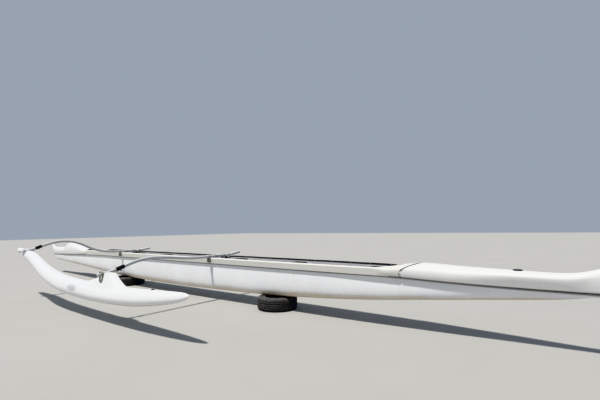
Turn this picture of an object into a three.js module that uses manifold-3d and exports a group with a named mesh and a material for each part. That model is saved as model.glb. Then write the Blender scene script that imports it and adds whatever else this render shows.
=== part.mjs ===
// A six-seat outrigger canoe: a long white hull with an open cockpit, two curved booms,
// a float on the port side, and the two old tyres that the hull rests on.
// Millimetres, +X to the bow, +Y to port, +Z up, the floor at Z = 0.
// Stations are measured along the hull from the rear boom, forward positive.
import * as THREE from "three";
import { mergeVertices } from "three/addons/utils/BufferGeometryUtils.js";
import Module from "manifold-3d";

const wasm = await Module();
wasm.setup();

// Driving dimensions
const GAP = 0.3; // clearance between neighbouring pieces
const BOOM_SPACING = 3130; // rear boom to front boom
const GUNWALE_HEIGHT = 740; // gunwale top above the floor
const HULL_WALL = 10;
const DECK_WALL = 8;
const HULL_INSET = 50; // the hull's rim stands this far inside the widest place above it
const STERN_INSET = 14; // and this much further under the aft end of the cockpit and the stern deck
const TUCK = 18; // the gunwale's face leans in this far at the joint
const DECK_TUCK = 26; // the decks draw in this far at the joint
const STERN_TUCK = 30; // and this much further towards the stern's tip
const WIDEST = 0.55; // share of a deck's height at which it is widest
const STERN_WIDEST = 0.17; // and this much higher towards the stern's tip
const GUNWALE_DEEP = 100; // joint to gunwale top along the cockpit
const GUNWALE_LIP = 50; // width of the gunwale top
const GUNWALE_WALL = 10;
const EDGING_THICK = 6;
const EDGING_DEEP = 30;
const EDGING_STAND = 24; // the starboard edging stands this far above the lip between the booms
const SEAM_SWEEP = 200; // the seam before the stern deck runs this far aft over the crown
const COAMING_SWEEP = 140; // the same for the apron's forward edge
const FLOAT_OFFSET = 1960; // hull centreline to float centreline
const FLOAT_WALL = 4;
const BOOM_THICK = 48;
const BOOM_WIDE = 60;
const SEAT_LENGTH = 240;
const SEAT_TOP = -55; // below the gunwale top
const COCKPIT_AFT = -3300;
const COCKPIT_FORE = 5150;
const EDGING_FORE = 4560; // forward end of the black edging
const APRON_AFT = -3438;
const DECK_FORE = -3452;

// Rows of station and half width of the gunwale and the decks
const HALF_WIDTH = [
  [-5480, 18], [-5440, 36], [-5300, 57], [-5000, 84], [-4600, 118], [-4200, 148], [-3800, 172],
  [-3400, 190], [-2800, 206], [-2000, 214], [-1000, 215], [3000, 215], [3600, 210], [4200, 198],
  [4800, 180], [5400, 156], [6000, 125], [6600, 92], [7200, 58], [7550, 40], [7720, 30], [7800, 14],
];
// Rows of station and height of the keel below the gunwale top
const KEEL = [
  [-5480, -176], [-5340, -182], [-5130, -206], [-4820, -242], [-4470, -280], [-3970, -332],
  [-3640, -365], [-3130, -418], [-2700, -455], [-2040, -500], [-1500, -530], [-830, -549],
  [0, -566], [800, -578], [1800, -577], [2360, -570], [3000, -553], [3600, -531], [4480, -485],
  [5050, -450], [5700, -418], [6400, -382], [7000, -350], [7500, -325], [7800, -312],
];
// Rows of station and height of the joint between hull and deck
const JOINT = [
  [-5480, -146], [-5000, -144], [-4600, -140], [-4200, -130], [-3800, -117], [-3400, -103],
  [-2900, -100], [-2000, -100],
  [4000, -100], [5100, -118], [5700, -138], [6400, -160], [7200, -185], [7800, -200],
];
// Rows of station and height of the stern deck along its middle
const STERN_TOP = [
  [-5480, 108], [-5440, 128], [-5400, 123], [-5300, 84], [-5200, 54], [-5100, 37], [-4950, 30],
  [-4800, 32], [-4400, 42], [-4000, 51], [-3750, 61], [-3500, 68], [-3400, 61], [-3300, 38],
];
// Rows of station and height of the bow deck along its middle
const BOW_TOP = [
  [5150, 24], [5400, 62], [5650, 108], [5900, 148], [6200, 172], [6400, 170], [6540, 146],
  [6620, 96], [6700, 54], [6800, 40], [7200, 30], [7480, 28], [7600, 42], [7700, 76], [7760, 104],
  [7800, 92],
];
// Rows of station, top, bottom and half width of the float, about its own centreline
const FLOAT = [
  [-1840, -192, -212, 9], [-1780, -177, -248, 29], [-1660, -175, -289, 50], [-1270, -192, -364, 83],
  [-750, -216, -432, 106], [-130, -232, -470, 116], [700, -228, -480, 119], [1420, -197, -450, 117],
  [1835, -147, -392, 112], [2145, -90, -312, 106], [2400, -28, -225, 99], [2660, 55, -135, 92],
  [2920, 125, -50, 84], [3130, 138, 0, 76], [3300, 156, 45, 68], [3450, 178, 80, 58],
  [3615, 184, 106, 43], [3700, 168, 124, 25], [3724, 152, 132, 10],
];
// Rows of across position and height of the top of each boom
const BOOM_REAR = [
  [-500, 88], [-400, 75], [-300, 59], [-240, 49], [0, 49], [240, 49], [400, 45], [610, 50], [850, 72],
  [1050, 93], [1250, 105], [1400, 98], [1550, 73], [1700, 27], [1850, -24], [1960, -54], [2030, -63],
  [2085, -66],
];
const BOOM_FRONT = [
  [-500, 88], [-400, 75], [-300, 59], [-240, 49], [0, 49], [240, 49], [350, 53], [450, 62], [550, 74],
  [660, 95], [770, 126], [870, 166], [970, 215], [1070, 261], [1220, 308], [1370, 323], [1490, 315],
  [1610, 289], [1750, 243], [1870, 198], [1960, 173], [2030, 163], [2110, 159],
];
// Rows of boom station, floor of the notch, saddle height, its aft and fore edge, and the run of
// the slope behind and before it
const SADDLES = [
  [0, -120, 170, -186, -50, 310, 700],
  [BOOM_SPACING, 108, 8, 3000, 3260, 200, 200],
];
// Rows of name, side and aft end of the black edging
const EDGINGS = [
  ["port", 1, -3190],
  ["starboard", -1, -3290],
];
// Rows of seat number and station, from the bow
const SEATS = [[1, 3950], [2, 2720], [3, 1640], [4, 560], [5, -550], [6, -1800]];
// Rows of name, station, outer radius and width of the tyres
const TYRES = [
  ["tyre_rear", -1380, 310, 197],
  ["tyre_front", 3150, 345, 182],
];

// Cubic interpolation through the rows of a table, column by number
function at(table, x, column = 1) {
  const n = table.length;
  if (x <= table[0][0]) return table[0][column];
  if (x >= table[n - 1][0]) return table[n - 1][column];
  let i = 0;
  while (x > table[i + 1][0]) i++;
  const slope = (k) => {
    if (k <= 0 || k >= n - 1) return 0;
    return (table[k + 1][column] - table[k - 1][column]) / (table[k + 1][0] - table[k - 1][0]);
  };
  const h = table[i + 1][0] - table[i][0];
  const t = (x - table[i][0]) / h;
  const m0 = i === 0 ? (table[1][column] - table[0][column]) / h : slope(i);
  const m1 = i === n - 2 ? (table[i + 1][column] - table[i][column]) / h : slope(i + 1);
  const a = 2 * t ** 3 - 3 * t ** 2 + 1;
  const b = t ** 3 - 2 * t ** 2 + t;
  const c = -2 * t ** 3 + 3 * t ** 2;
  const d = t ** 3 - t ** 2;
  return a * table[i][column] + b * h * m0 + c * table[i + 1][column] + d * h * m1;
}

const smooth = (t) => {
  const u = Math.min(Math.max(t, 0), 1);
  return u * u * (3 - 2 * u);
};

// The ends lean: the foot of each end face stands inside its tip.
function leaned(x, z) {
  const bow = smooth((x - 7200) / 600) * 190 * smooth((110 - z) / 420);
  const stern = smooth((-4950 - x) / 530) * 140 * smooth((140 - z) / 300);
  return x - bow + stern;
}

// Closed solid through rings of equal length, with flat caps
function loft(rings) {
  const n = rings[0].length;
  const position = rings.flat().flatMap((p) => [p.x, p.y, p.z]);
  const index = [];
  for (let r = 0; r + 1 < rings.length; r++) {
    for (let i = 0; i < n; i++) {
      const j = (i + 1) % n;
      const a = r * n + i;
      const b = r * n + j;
      const c = a + n;
      const d = b + n;
      index.push(a, b, c, b, d, c);
    }
  }
  for (const [start, flip] of [[0, true], [(rings.length - 1) * n, false]]) {
    const ring = rings[start / n];
    const pairs = [["y", "z"], ["x", "z"], ["x", "y"]];
    const views = pairs.map(([u, v]) => ring.map((p) => new THREE.Vector2(p[u], p[v])));
    const size = (view) => Math.abs(THREE.ShapeUtils.area(view));
    const flat = views.reduce((best, view) => (size(view) > size(best) ? view : best));
    const turned = THREE.ShapeUtils.area(flat) < 0;
    const list = flat.map((corner, i) => i);
    if (turned) list.reverse();
    const faces = THREE.ShapeUtils.triangulateShape(list.map((i) => flat[i]), []);
    for (const f of faces) {
      const [a, b, c] = f.map((k) => start + list[k]);
      if (flip !== turned) index.push(a, c, b);
      else index.push(a, b, c);
    }
  }
  const geometry = new THREE.BufferGeometry();
  geometry.setAttribute("position", new THREE.Float32BufferAttribute(position, 3));
  geometry.setIndex(index);
  return outward(geometry);
}

// The same geometry with its faces turned out, if they faced in
function outward(geometry) {
  const p = geometry.attributes.position;
  const index = geometry.index.array;
  const [a, b, c] = [new THREE.Vector3(), new THREE.Vector3(), new THREE.Vector3()];
  let volume = 0;
  for (let i = 0; i < index.length; i += 3) {
    a.fromBufferAttribute(p, index[i]);
    b.fromBufferAttribute(p, index[i + 1]);
    c.fromBufferAttribute(p, index[i + 2]);
    volume += a.dot(b.cross(c));
  }
  if (volume < 0) {
    const turned = Array.from(index);
    for (let i = 0; i < turned.length; i += 3) {
      [turned[i + 1], turned[i + 2]] = [turned[i + 2], turned[i + 1]];
    }
    geometry.setIndex(turned);
  }
  return geometry;
}

// Geometry to solid and back, for the cuts
function solid(geometry) {
  const bare = geometry.clone();
  bare.deleteAttribute("normal");
  bare.deleteAttribute("uv");
  const merged = mergeVertices(bare, 1e-3);
  return new wasm.Manifold(new wasm.Mesh({
    numProp: 3,
    vertProperties: merged.attributes.position.array,
    triVerts: new Uint32Array(merged.index.array),
  }));
}
function surface(cut) {
  const mesh = cut.getMesh();
  const geometry = new THREE.BufferGeometry();
  geometry.setAttribute("position", new THREE.Float32BufferAttribute(mesh.vertProperties, 3));
  geometry.setIndex(Array.from(mesh.triVerts));
  return geometry;
}
function box(x0, x1, y0, y1, z0, z1) {
  const geometry = new THREE.BoxGeometry(x1 - x0, y1 - y0, z1 - z0);
  geometry.translate((x0 + x1) / 2, (y0 + y1) / 2, (z0 + z1) / 2);
  return geometry;
}

const group = new THREE.Group();
function add(name, geometry, colour, roughness, metalness = 0) {
  geometry.translate(0, 0, GUNWALE_HEIGHT);
  const shape = geometry.index ? geometry.toNonIndexed() : geometry;
  shape.computeVertexNormals();
  const material = new THREE.MeshStandardMaterial({ color: colour, roughness, metalness });
  const mesh = new THREE.Mesh(shape, material);
  mesh.name = name;
  group.add(mesh);
}

const spread = (from, to, count) => {
  const list = [];
  for (let i = 0; i <= count; i++) list.push(from + ((to - from) * i) / count);
  return list;
};
const point = (x, y, z) => new THREE.Vector3(x, y, z);

// Share of the stern's own section: 0 forward of the stern deck's first part, 1 towards its tip
const sternward = (x) => smooth((-3900 - x) / 800) * smooth((x + 5460) / 250);
// Hull: upright sides with a round bilge amidships, sharper at the ends, and at the stern nearly a V
function hullPower(x) {
  const full = 1.45 + 2.25 * smooth((x + 5400) / 2600) * smooth((7800 - x) / 3000);
  return full + (1.2 - full) * smooth((-4000 - x) / 600);
}
function hullWide(x) {
  const b = at(HALF_WIDTH, x);
  return Math.max(b - HULL_INSET - STERN_INSET * smooth((-2300 - x) / 1200), b * (0.5 - 0.18 * sternward(x)));
}
// Inner edge of the flanges that lie on the hull's rim
const flangeEdge = (x) => hullWide(x) - 12;
function hullHalf(x, z, inset) {
  const top = at(JOINT, x);
  const keel = at(KEEL, x) + inset;
  const u = Math.min(Math.max((top - z) / (top - keel), 0), 1);
  const p = hullPower(x);
  return (hullWide(x) - inset) * (1 - u ** p) ** (1 / p);
}
// Ring of a hull section from the port top round the keel to the starboard top
function hullRing(x, inset, top, steps) {
  const keel = at(KEEL, x) + inset;
  const joint = at(JOINT, x);
  const p = hullPower(x);
  const ring = [];
  for (const a of spread(0, Math.PI, steps)) {
    const c = Math.cos(a);
    const s = Math.sin(a);
    const y = Math.sign(c) * (hullWide(x) - inset) * Math.abs(c) ** (2 / p);
    const z = joint - (joint - keel) * s ** (2 / p);
    ring.push(point(leaned(x, z), y, a === 0 || a === Math.PI ? top : z));
  }
  ring[0].x = leaned(x, top);
  ring[steps].x = ring[0].x;
  return ring;
}
const hullStations = [
  -5480, -5440, -5400, -5300, -5200, -5100, -4950, -4800, -4600, -4400, -4150, -4000, -3850, -3650, -3450, -3250,
  -3100, -2400, -1800, -1200, -600, 0, 800, 1600, 2400, 3000, 3600, 4200, 4410, 4560, 4700, 4950, 5050, 5090,
  5150, 5400, 5650, 5900, 6200, 6400, 6540, 6620, 6700, 6800, 7200, 7480, 7600, 7700, 7760, 7800,
];
const hullOuter = loft(hullStations.map((x) => hullRing(x, 0, at(JOINT, x), 18)));
const innerStations = hullStations.filter((x) => x > -5000 && x < 7300);
const hullInner = loft(innerStations.map((x) => hullRing(x, HULL_WALL, at(JOINT, x) + 30, 18)));
add("hull_shell", surface(solid(hullOuter).subtract(solid(hullInner))), 0xe9ebee, 0.35);

// Deck section: across and up at a share of the way from the port foot to the starboard foot.
// Below its widest place the side draws in towards the joint.
function arch(x, top, share, inset) {
  const b = at(HALF_WIDTH, x);
  const foot = at(JOINT, x) + GAP + inset;
  const widest = foot + (WIDEST + STERN_WIDEST * sternward(x)) * (top - inset - foot);
  const way = 1 - Math.abs(2 * share - 1);
  const low = Math.min(way / 0.3, 1);
  const angle = (Math.max(way - 0.3, 0) / 0.7) * (Math.PI / 2);
  const up = way < 0.3
    ? foot + (widest - foot) * low
    : widest + (top - inset - widest) * Math.sin(angle) ** 0.93;
  const more = sternward(x);
  const tuck = Math.min(DECK_TUCK + STERN_TUCK * more, 0.62 * b) * (1 - low) ** (2 - 0.6 * more);
  const wide = share === 0.5 ? 0 : (b - inset) * Math.cos(angle) ** 0.93 - tuck;
  return [Math.sign(0.5 - share) * wide, up];
}

// How far the gunwale's section has turned into the deck's next to it
const ending = (x) => smooth((-3100 - x) / 200) + smooth((x - COCKPIT_FORE + 200) / 200);
const endTop = (x) => (x < 0 ? at(STERN_TOP, COCKPIT_AFT) : at(BOW_TOP, COCKPIT_FORE));
// Height of the gunwale's inner edge, which rises before the apron
function lipHeight(x) {
  const b = at(HALF_WIDTH, COCKPIT_AFT);
  const foot = at(JOINT, COCKPIT_AFT) + GAP;
  const top = at(STERN_TOP, COCKPIT_AFT);
  const widest = foot + WIDEST * (top - foot);
  const angle = Math.acos(((b - GUNWALE_LIP) / b) ** (1 / 0.93));
  return x < 0 ? (widest + (top - widest) * Math.sin(angle) ** 0.93) * ending(x) : 0;
}
// Gunwale section: leaning face, rounded corner, flat lip and a flange on the hull's rim
function gunwaleRing(x, side) {
  const b = at(HALF_WIDTH, x);
  const foot = at(JOINT, x) + GAP;
  const boxed = [
    [b - TUCK, foot], [b - TUCK * 0.75, foot * 0.78], [b - TUCK * 0.3, -38], [b, -12], [b - 3.5, -3.5],
    [b - 12, 0], [b - 30, 0], [b - GUNWALE_LIP, 0],
  ];
  const lip = Math.acos(((b - GUNWALE_LIP) / b) ** (1 / 0.93)) / (Math.PI / 2);
  const shares = [0, 0.05, 0.1, 0.15, ...[0.3, 0.55, 0.8, 1].map((t) => 0.15 + 0.35 * lip * t)];
  const arched = shares.map((share) => arch(x, endTop(x), share, 0));
  const w = ending(x);
  const outer = boxed.map(([y, z], i) => [y + w * (arched[i][0] - y), z + w * (arched[i][1] - z)]);
  const inner = outer.map(([y, z], i) => {
    const before = outer[Math.max(i - 1, 0)];
    const after = outer[Math.min(i + 1, outer.length - 1)];
    const length = Math.hypot(after[0] - before[0], after[1] - before[1]);
    return [
      y - (GUNWALE_WALL * (after[1] - before[1])) / length,
      Math.max(z + (GUNWALE_WALL * (after[0] - before[0])) / length, foot + GUNWALE_WALL),
    ];
  });
  inner[inner.length - 1][0] = outer[outer.length - 1][0];
  const edge = flangeEdge(x);
  const rows = [...outer, ...inner.reverse(), [edge, foot + GUNWALE_WALL], [edge, foot]];
  return rows.map(([y, z]) => point(x, side * y, z));
}
// Stations that the gunwales and their edging share
const railStations = [
  -3290, -3240, -3190, -3140, -3090, -2400, -1950, -1650, -1000, -220, -140, -60, 60, 140, 220, 1500, 2910,
  2990, 3070, 3190, 3270, 3350, 3800, 4200, 4410, EDGING_FORE,
];
const gunwaleStations = [
  COCKPIT_AFT + GAP, ...railStations, 4700, 4950, 5000, 5050, 5090, COCKPIT_FORE - GAP,
];
// Height of the edging's middle: level with the lip, and to starboard above it between the booms
function edgingMiddle(x, side) {
  const level = lipHeight(x) - EDGING_DEEP / 2 - 0.5;
  if (side > 0) return level;
  const clear = Math.min(Math.abs(x), Math.abs(x - BOOM_SPACING));
  const ends = smooth((x - COCKPIT_AFT) / 200) * smooth((EDGING_FORE - x) / 300);
  return level + EDGING_STAND * smooth((clear - 60) / 160) * ends;
}
function edgingRing(x, side) {
  const outside = at(HALF_WIDTH, x) - GUNWALE_LIP - GAP;
  const middle = edgingMiddle(x, side);
  return [[0, 1], [1, 1], [1, -1], [0, -1]].map(([u, v]) =>
    point(x, side * (outside - u * EDGING_THICK), middle + (v * EDGING_DEEP) / 2));
}
for (const [name, side, aft] of EDGINGS) {
  const stations = railStations.filter((x) => x >= aft);
  add(`gunwale_${name}`, loft(gunwaleStations.map((x) => gunwaleRing(x, side))), 0xd9d6cc, 0.5);
  add(`edging_${name}`, loft(stations.map((x) => edgingRing(x, side))), 0x17181a, 0.7);
}

// Decks: an arch with a floor that lies on the hull's rim, open along its middle
const deckShares = [0, 0.05, 0.1, 0.15, 0.2, 0.26, 0.32, 0.38, 0.44];
const deckRound = [...deckShares, 0.5, ...deckShares.map((share) => 1 - share).reverse()];
function deckRing(x, topTable, slant, inset) {
  const top = at(topTable, x);
  const foot = at(JOINT, x);
  return deckRound.map((share) => {
    const [y, z] = arch(x, top, share, inset);
    return point(leaned(x, z) + slant(x, y, (z - foot) / (top - foot)), y, z);
  });
}
function slotRing(x) {
  const half = Math.min(flangeEdge(x), 0.85 * hullWide(x));
  const foot = at(JOINT, x);
  return [[1, -20], [1, 20], [-1, 20], [-1, -20]].map(([side, up]) => point(x, side * half, foot + up));
}
function deck(stations, hollow, topTable, slant) {
  const outer = solid(loft(stations.map((x) => deckRing(x, topTable, slant, 0))));
  const inner = solid(loft(hollow.map((x) => deckRing(x, topTable, slant, DECK_WALL))));
  const slot = solid(loft(hollow.map(slotRing)));
  return surface(outer.subtract(inner).subtract(slot));
}
const bowStations = [
  COCKPIT_FORE, 5400, 5650, 5900, 6200, 6400, 6540, 6620, 6700, 6800, 7200, 7480, 7600, 7700, 7760, 7800,
];
const bowHollow = [COCKPIT_FORE - 40, 5400, 5650, 5900, 6200, 6400, 6540, 6620, 6700, 6800];
add("bow_deck", deck(bowStations, bowHollow, BOW_TOP, () => 0), 0xeef0f2, 0.28);
// The seam runs aft with the height; the apron's forward edge is a parabola between the lips
const seamSlant = (x, y, rise) => -SEAM_SWEEP * smooth((x + 4400) / 900) * Math.max(rise, 0) ** 3.2;
function apronSlant(x, y, rise) {
  const lip = at(HALF_WIDTH, x) - GUNWALE_LIP;
  const edge = -COAMING_SWEEP * Math.max(1 - (y / lip) ** 2, 0);
  const share = smooth((COCKPIT_AFT - x) / (COCKPIT_AFT - APRON_AFT));
  return edge * (1 - share) - SEAM_SWEEP * share * Math.max(rise, 0) ** 3.2;
}
const sternStations = [
  -5480, -5440, -5400, -5300, -5200, -5100, -4950, -4800, -4600, -4400, -4150, -4000, -3850, -3650, DECK_FORE,
];
const sternHollow = [-4400, -4150, -4000, -3850, -3650, DECK_FORE + 40];
add("stern_deck", deck(sternStations, sternHollow, STERN_TOP, seamSlant), 0xeef0f2, 0.28);
const apronStations = [APRON_AFT, -3406, -3370, -3335, COCKPIT_AFT];
const apronHollow = [APRON_AFT - 40, ...apronStations, COCKPIT_AFT + 40];
add("stern_coaming", deck(apronStations, apronHollow, STERN_TOP, apronSlant), 0xe4e3dd, 0.4);

// Bulkheads inside the hull at both ends of the cockpit, each with a hand hole
function bulkhead(x, topZ) {
  const heights = spread(at(KEEL, x) + HULL_WALL + 18, topZ, 12);
  const half = (z) => hullHalf(x, z, HULL_WALL) - 4.5;
  const port = heights.map((z) => [half(z), z]);
  const outline = port.concat(port.map(([y, z]) => [-y, z]).reverse());
  const rings = [x - 4, x + 4].map((s) => outline.map(([y, z]) => point(s, y, z)));
  const hole = new THREE.CylinderGeometry(60, 60, 40, 24);
  hole.rotateZ(Math.PI / 2);
  hole.translate(x, 0, (at(KEEL, x) + topZ) / 2 + 20);
  return surface(solid(loft(rings)).subtract(solid(hole)));
}
add("bulkhead_stern", bulkhead(-3560, -114), 0xdedfdc, 0.5);
add("bulkhead_bow", bulkhead(5260, -128), 0xdedfdc, 0.5);

// Seats: a moulded bench with turned-down edges
for (const [number, x] of SEATS) {
  const half = Math.min(flangeEdge(x - SEAT_LENGTH / 2), flangeEdge(x + SEAT_LENGTH / 2)) - GAP;
  const shape = new THREE.Shape();
  const h = SEAT_LENGTH / 2;
  shape.moveTo(-h, -45);
  shape.lineTo(-h + 10, -45);
  shape.lineTo(-h + 14, -16);
  shape.lineTo(h - 14, -16);
  shape.lineTo(h - 10, -45);
  shape.lineTo(h, -45);
  shape.lineTo(h, -8);
  shape.lineTo(h - 8, 0);
  shape.lineTo(-h + 8, 0);
  shape.lineTo(-h, -8);
  shape.closePath();
  const seat = new THREE.ExtrudeGeometry(shape, { depth: half * 2, bevelEnabled: false });
  seat.rotateX(Math.PI / 2);
  seat.translate(x, half, SEAT_TOP);
  add(`seat_${number}`, seat, 0xc9cbc8, 0.6);
}

// Thwart near the stern end of the cockpit
{
  const x = -3020;
  const half = at(HALF_WIDTH, x - 80) - 20.8;
  add("stern_thwart", box(x - 80, x + 80, -half, half, -60, -32), 0x1b1c1e, 0.8);
}

// Booms, rounded bars that follow the rows of across position and height
function boomRing(table, station, y, grow) {
  const wide = BOOM_WIDE / 2 - 9 * smooth((y - 700) / 1300) + grow;
  const thick = BOOM_THICK / 2 + grow;
  const middle = at(table, y) - BOOM_THICK / 2;
  const slope = (at(table, y + 5) - at(table, y - 5)) / 10;
  const length = Math.hypot(1, slope);
  const corner = [[1, 0.45], [0.82, 0.85], [0.45, 1], [-0.45, 1], [-0.82, 0.85], [-1, 0.45], [-1, -0.45],
    [-0.82, -0.85], [-0.45, -1], [0.45, -1], [0.82, -0.85], [1, -0.45]];
  return corner.map(([u, v]) =>
    point(station + u * wide, y - (v * thick * slope) / length, middle + (v * thick) / length));
}
const boomSteps = [
  -500, -400, -300, -240, 0, 240, 350, 450, 550, 660, 770, 870, 970, 1070, 1145, 1220, 1295, 1370, 1430,
  1490, 1550, 1610, 1680, 1750, 1810, 1870, 1960, 2030,
];
// Rings from the inboard end to the end of the boom's own table
function boomRings(table, station, grow) {
  return [...boomSteps, table[table.length - 1][0]].map((y) => boomRing(table, station, y, grow));
}
// Rows of name, station, table, and inner and outer end of the black wrap near the float
const booms = [
  ["rear", 0, BOOM_REAR, 1720, 1835],
  ["front", BOOM_SPACING, BOOM_FRONT, 1750, 1850],
];
for (const [name, station, table, wrapStart, wrapEnd] of booms) {
  add(`boom_${name}`, loft(boomRings(table, station, 0)), 0xb9bcbc, 0.55);
  const sleeve = spread(wrapStart, wrapEnd, 5);
  const outer = solid(loft(sleeve.map((y) => boomRing(table, station, y, 5))));
  const longer = spread(wrapStart - 20, wrapEnd + 20, 5);
  const inner = solid(loft(longer.map((y) => boomRing(table, station, y, GAP + 0.5))));
  const bar = solid(loft(boomRings(table, station, GAP)));
  add(`wrap_${name}`, surface(outer.subtract(inner).subtract(bar)), 0x141416, 0.6);
  // Spreader bar between the gunwales below the boom
  const half = at(HALF_WIDTH, station) - 23.4;
  add(`spreader_${name}`, box(station - 22, station + 22, -half, half, -73, -32), 0xb79b78, 0.6);
}

// Float: a hollow body with a narrow saddle under each boom, and a drain hole
function floatRing(x, grow, steps = 20) {
  const top = at(FLOAT, x, 1) + grow;
  const bottom = at(FLOAT, x, 2) - grow;
  const wide = at(FLOAT, x, 3) + grow;
  const middle = (top + bottom) / 2 - (top - bottom) * 0.04;
  return spread(0, 2 * Math.PI, steps).slice(0, steps).map((a) => {
    const c = Math.cos(a);
    const s = Math.sin(a);
    const y = Math.sign(c) * Math.abs(c) ** (2 / 2.2) * wide;
    const reach = s > 0 ? top - middle : middle - bottom;
    let z = middle + Math.sign(s) * Math.abs(s) ** (2 / 2.2) * reach;
    if (s > 0) z += ridge(x, y, wide) * (grow < 0 ? 0.6 : 1);
    return point(x, FLOAT_OFFSET + y, z);
  });
}
function ridge(x, y, wide) {
  return SADDLES.reduce((height, [, , rise, aft, fore, behind, before]) => {
    const away = Math.max((aft - x) / behind, (x - fore) / before, 0);
    const across = smooth((wide * 0.86 - Math.abs(y)) / (wide * 0.5));
    return height + rise * Math.max(1 - away, 0) ** 1.5 * across;
  }, 0);
}
const floatStations = [
  -1840, -1780, -1660, -1270, -900, -600, -496, -440, -380, -320, -260, -186, -50, 60, 180, 320, 480, 650,
  1000, 1420, 1835, 2145, 2400, 2660, 2920, 3000, 3130, 3300, 3450, 3615, 3700, 3724,
];
const floatSolid = (grow) => solid(loft(floatStations.map((x) => floatRing(x, grow))));
const floatInside = loft(
  floatStations.filter((x) => x > -1600 && x < 3400).map((x) => floatRing(x, -FLOAT_WALL)));
const DRAIN_STATION = -1150;
const drain = new THREE.CylinderGeometry(12, 12, 80, 20);
drain.rotateX(Math.PI / 2);
drain.translate(DRAIN_STATION, FLOAT_OFFSET, at(FLOAT, DRAIN_STATION, 1));
let float = floatSolid(0).subtract(solid(floatInside)).subtract(solid(drain));
for (const [station, floor] of SADDLES) {
  const notch = box(station - 31, station + 31, FLOAT_OFFSET - 200, FLOAT_OFFSET + 200, floor, 400);
  float = float.subtract(solid(notch));
}
add("ama", surface(float), 0xeceef1, 0.32);

// Lashings beside the gunwale: a thick wrap with the boom passing through it
for (const [name, station, table] of booms) {
  const bar = solid(loft(boomRings(table, station, GAP + 0.2)));
  // The block leans in with the gunwale's face
  const b = at(HALF_WIDTH, station) + GAP;
  const lean = (TUCK * (84 - 12)) / (GUNWALE_DEEP - 12);
  const rows = [[b, 56], [b, -12], [b - lean, -84], [b + 22 - lean, -84], [b + 22, -12], [b + 22, 56]];
  for (const [side, sign] of EDGINGS) {
    const block = loft([station - 42, station + 42].map((x) => rows.map(([y, z]) => point(x, sign * y, z))));
    add(`lash_${name}_${side}`, surface(solid(block).subtract(bar)), 0x8b8d88, 0.8);
  }
  const [bottom, top] = name === "rear" ? [-192, -56] : [66, 170];
  for (const [side, y] of [["in", FLOAT_OFFSET - 68], ["out", FLOAT_OFFSET + 68]]) {
    const block = box(station - 50, station + 50, y - 14, y + 14, bottom, top);
    const fitted = solid(block).subtract(bar).subtract(floatSolid(GAP));
    add(`lash_ama_${name}_${side}`, surface(fitted), 0x8b8d88, 0.8);
  }
}

// Low round hatch on the stern deck
{
  const x = -4640;
  const top = at(STERN_TOP, x);
  const port = new THREE.CylinderGeometry(44, 48, 9, 32);
  port.rotateX(Math.PI / 2);
  port.translate(x, 0, top + 4.5 + GAP + 2);
  add("deck_fitting", port, 0x2a2b2d, 0.5);
}

// Tyres lying flat: a carcass open towards its middle
for (const [name, station, radius, width] of TYRES) {
  const rows = [
    [0.6, 0.02], [0.72, 0], [0.86, 0.0], [0.95, 0.06], [0.99, 0.14], [1, 0.25], [1, 0.75], [0.99, 0.86],
    [0.95, 0.94], [0.86, 1], [0.72, 1], [0.6, 0.98], [0.6, 0.9], [0.74, 0.925], [0.86, 0.92], [0.935, 0.82],
    [0.945, 0.5], [0.935, 0.18], [0.86, 0.08], [0.74, 0.075], [0.6, 0.1],
  ];
  const profile = rows.map(([r, h]) => new THREE.Vector2(r * radius, h * width));
  profile.push(profile[0].clone());
  const tyre = new THREE.LatheGeometry(profile, 32);
  tyre.rotateX(Math.PI / 2);
  tyre.translate(station, 0, -GUNWALE_HEIGHT);
  const bare = tyre.clone();
  bare.deleteAttribute("normal");
  bare.deleteAttribute("uv");
  add(name, outward(mergeVertices(bare, 1e-3)), 0x2f3032, 0.9);
}

// The origin goes to the middle of the bounding box at floor level
const bounds = new THREE.Box3().setFromObject(group);
for (const mesh of group.children) {
  mesh.geometry.translate(-(bounds.min.x + bounds.max.x) / 2, -(bounds.min.y + bounds.max.y) / 2, 0);
}

export default group;
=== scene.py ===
"""A six-seat outrigger canoe on two old tyres: its surfaces and finishes, in metres.

Shapes are worked out in the hull's own frame: stations run forward from the rear boom,
the port side is positive, and heights are measured from the top of the gunwale.
"""
import logging
import math
from dataclasses import dataclass, field
from enum import Enum
from typing import Callable, Sequence

import bpy
import numpy as np
from mathutils import Matrix, Vector


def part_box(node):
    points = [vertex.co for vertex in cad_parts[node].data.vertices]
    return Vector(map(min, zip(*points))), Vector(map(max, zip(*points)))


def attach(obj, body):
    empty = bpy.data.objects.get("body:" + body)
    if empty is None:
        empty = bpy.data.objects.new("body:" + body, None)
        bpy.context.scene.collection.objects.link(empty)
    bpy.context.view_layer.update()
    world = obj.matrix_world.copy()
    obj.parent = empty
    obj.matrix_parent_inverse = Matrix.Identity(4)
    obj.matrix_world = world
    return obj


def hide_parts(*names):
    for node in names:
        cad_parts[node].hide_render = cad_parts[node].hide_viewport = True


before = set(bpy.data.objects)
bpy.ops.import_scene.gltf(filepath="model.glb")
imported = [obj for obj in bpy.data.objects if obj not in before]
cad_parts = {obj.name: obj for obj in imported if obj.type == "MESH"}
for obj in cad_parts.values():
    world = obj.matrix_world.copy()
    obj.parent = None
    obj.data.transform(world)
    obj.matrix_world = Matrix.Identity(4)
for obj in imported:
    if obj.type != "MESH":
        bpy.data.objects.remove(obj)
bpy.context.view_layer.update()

Array = np.ndarray
Colour = tuple[float, float, float]
Socket = bpy.types.NodeSocket

LOG = logging.getLogger("canoe")
MM = 0.001
GAP = 0.0003
TURN = 2 * math.pi

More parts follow.
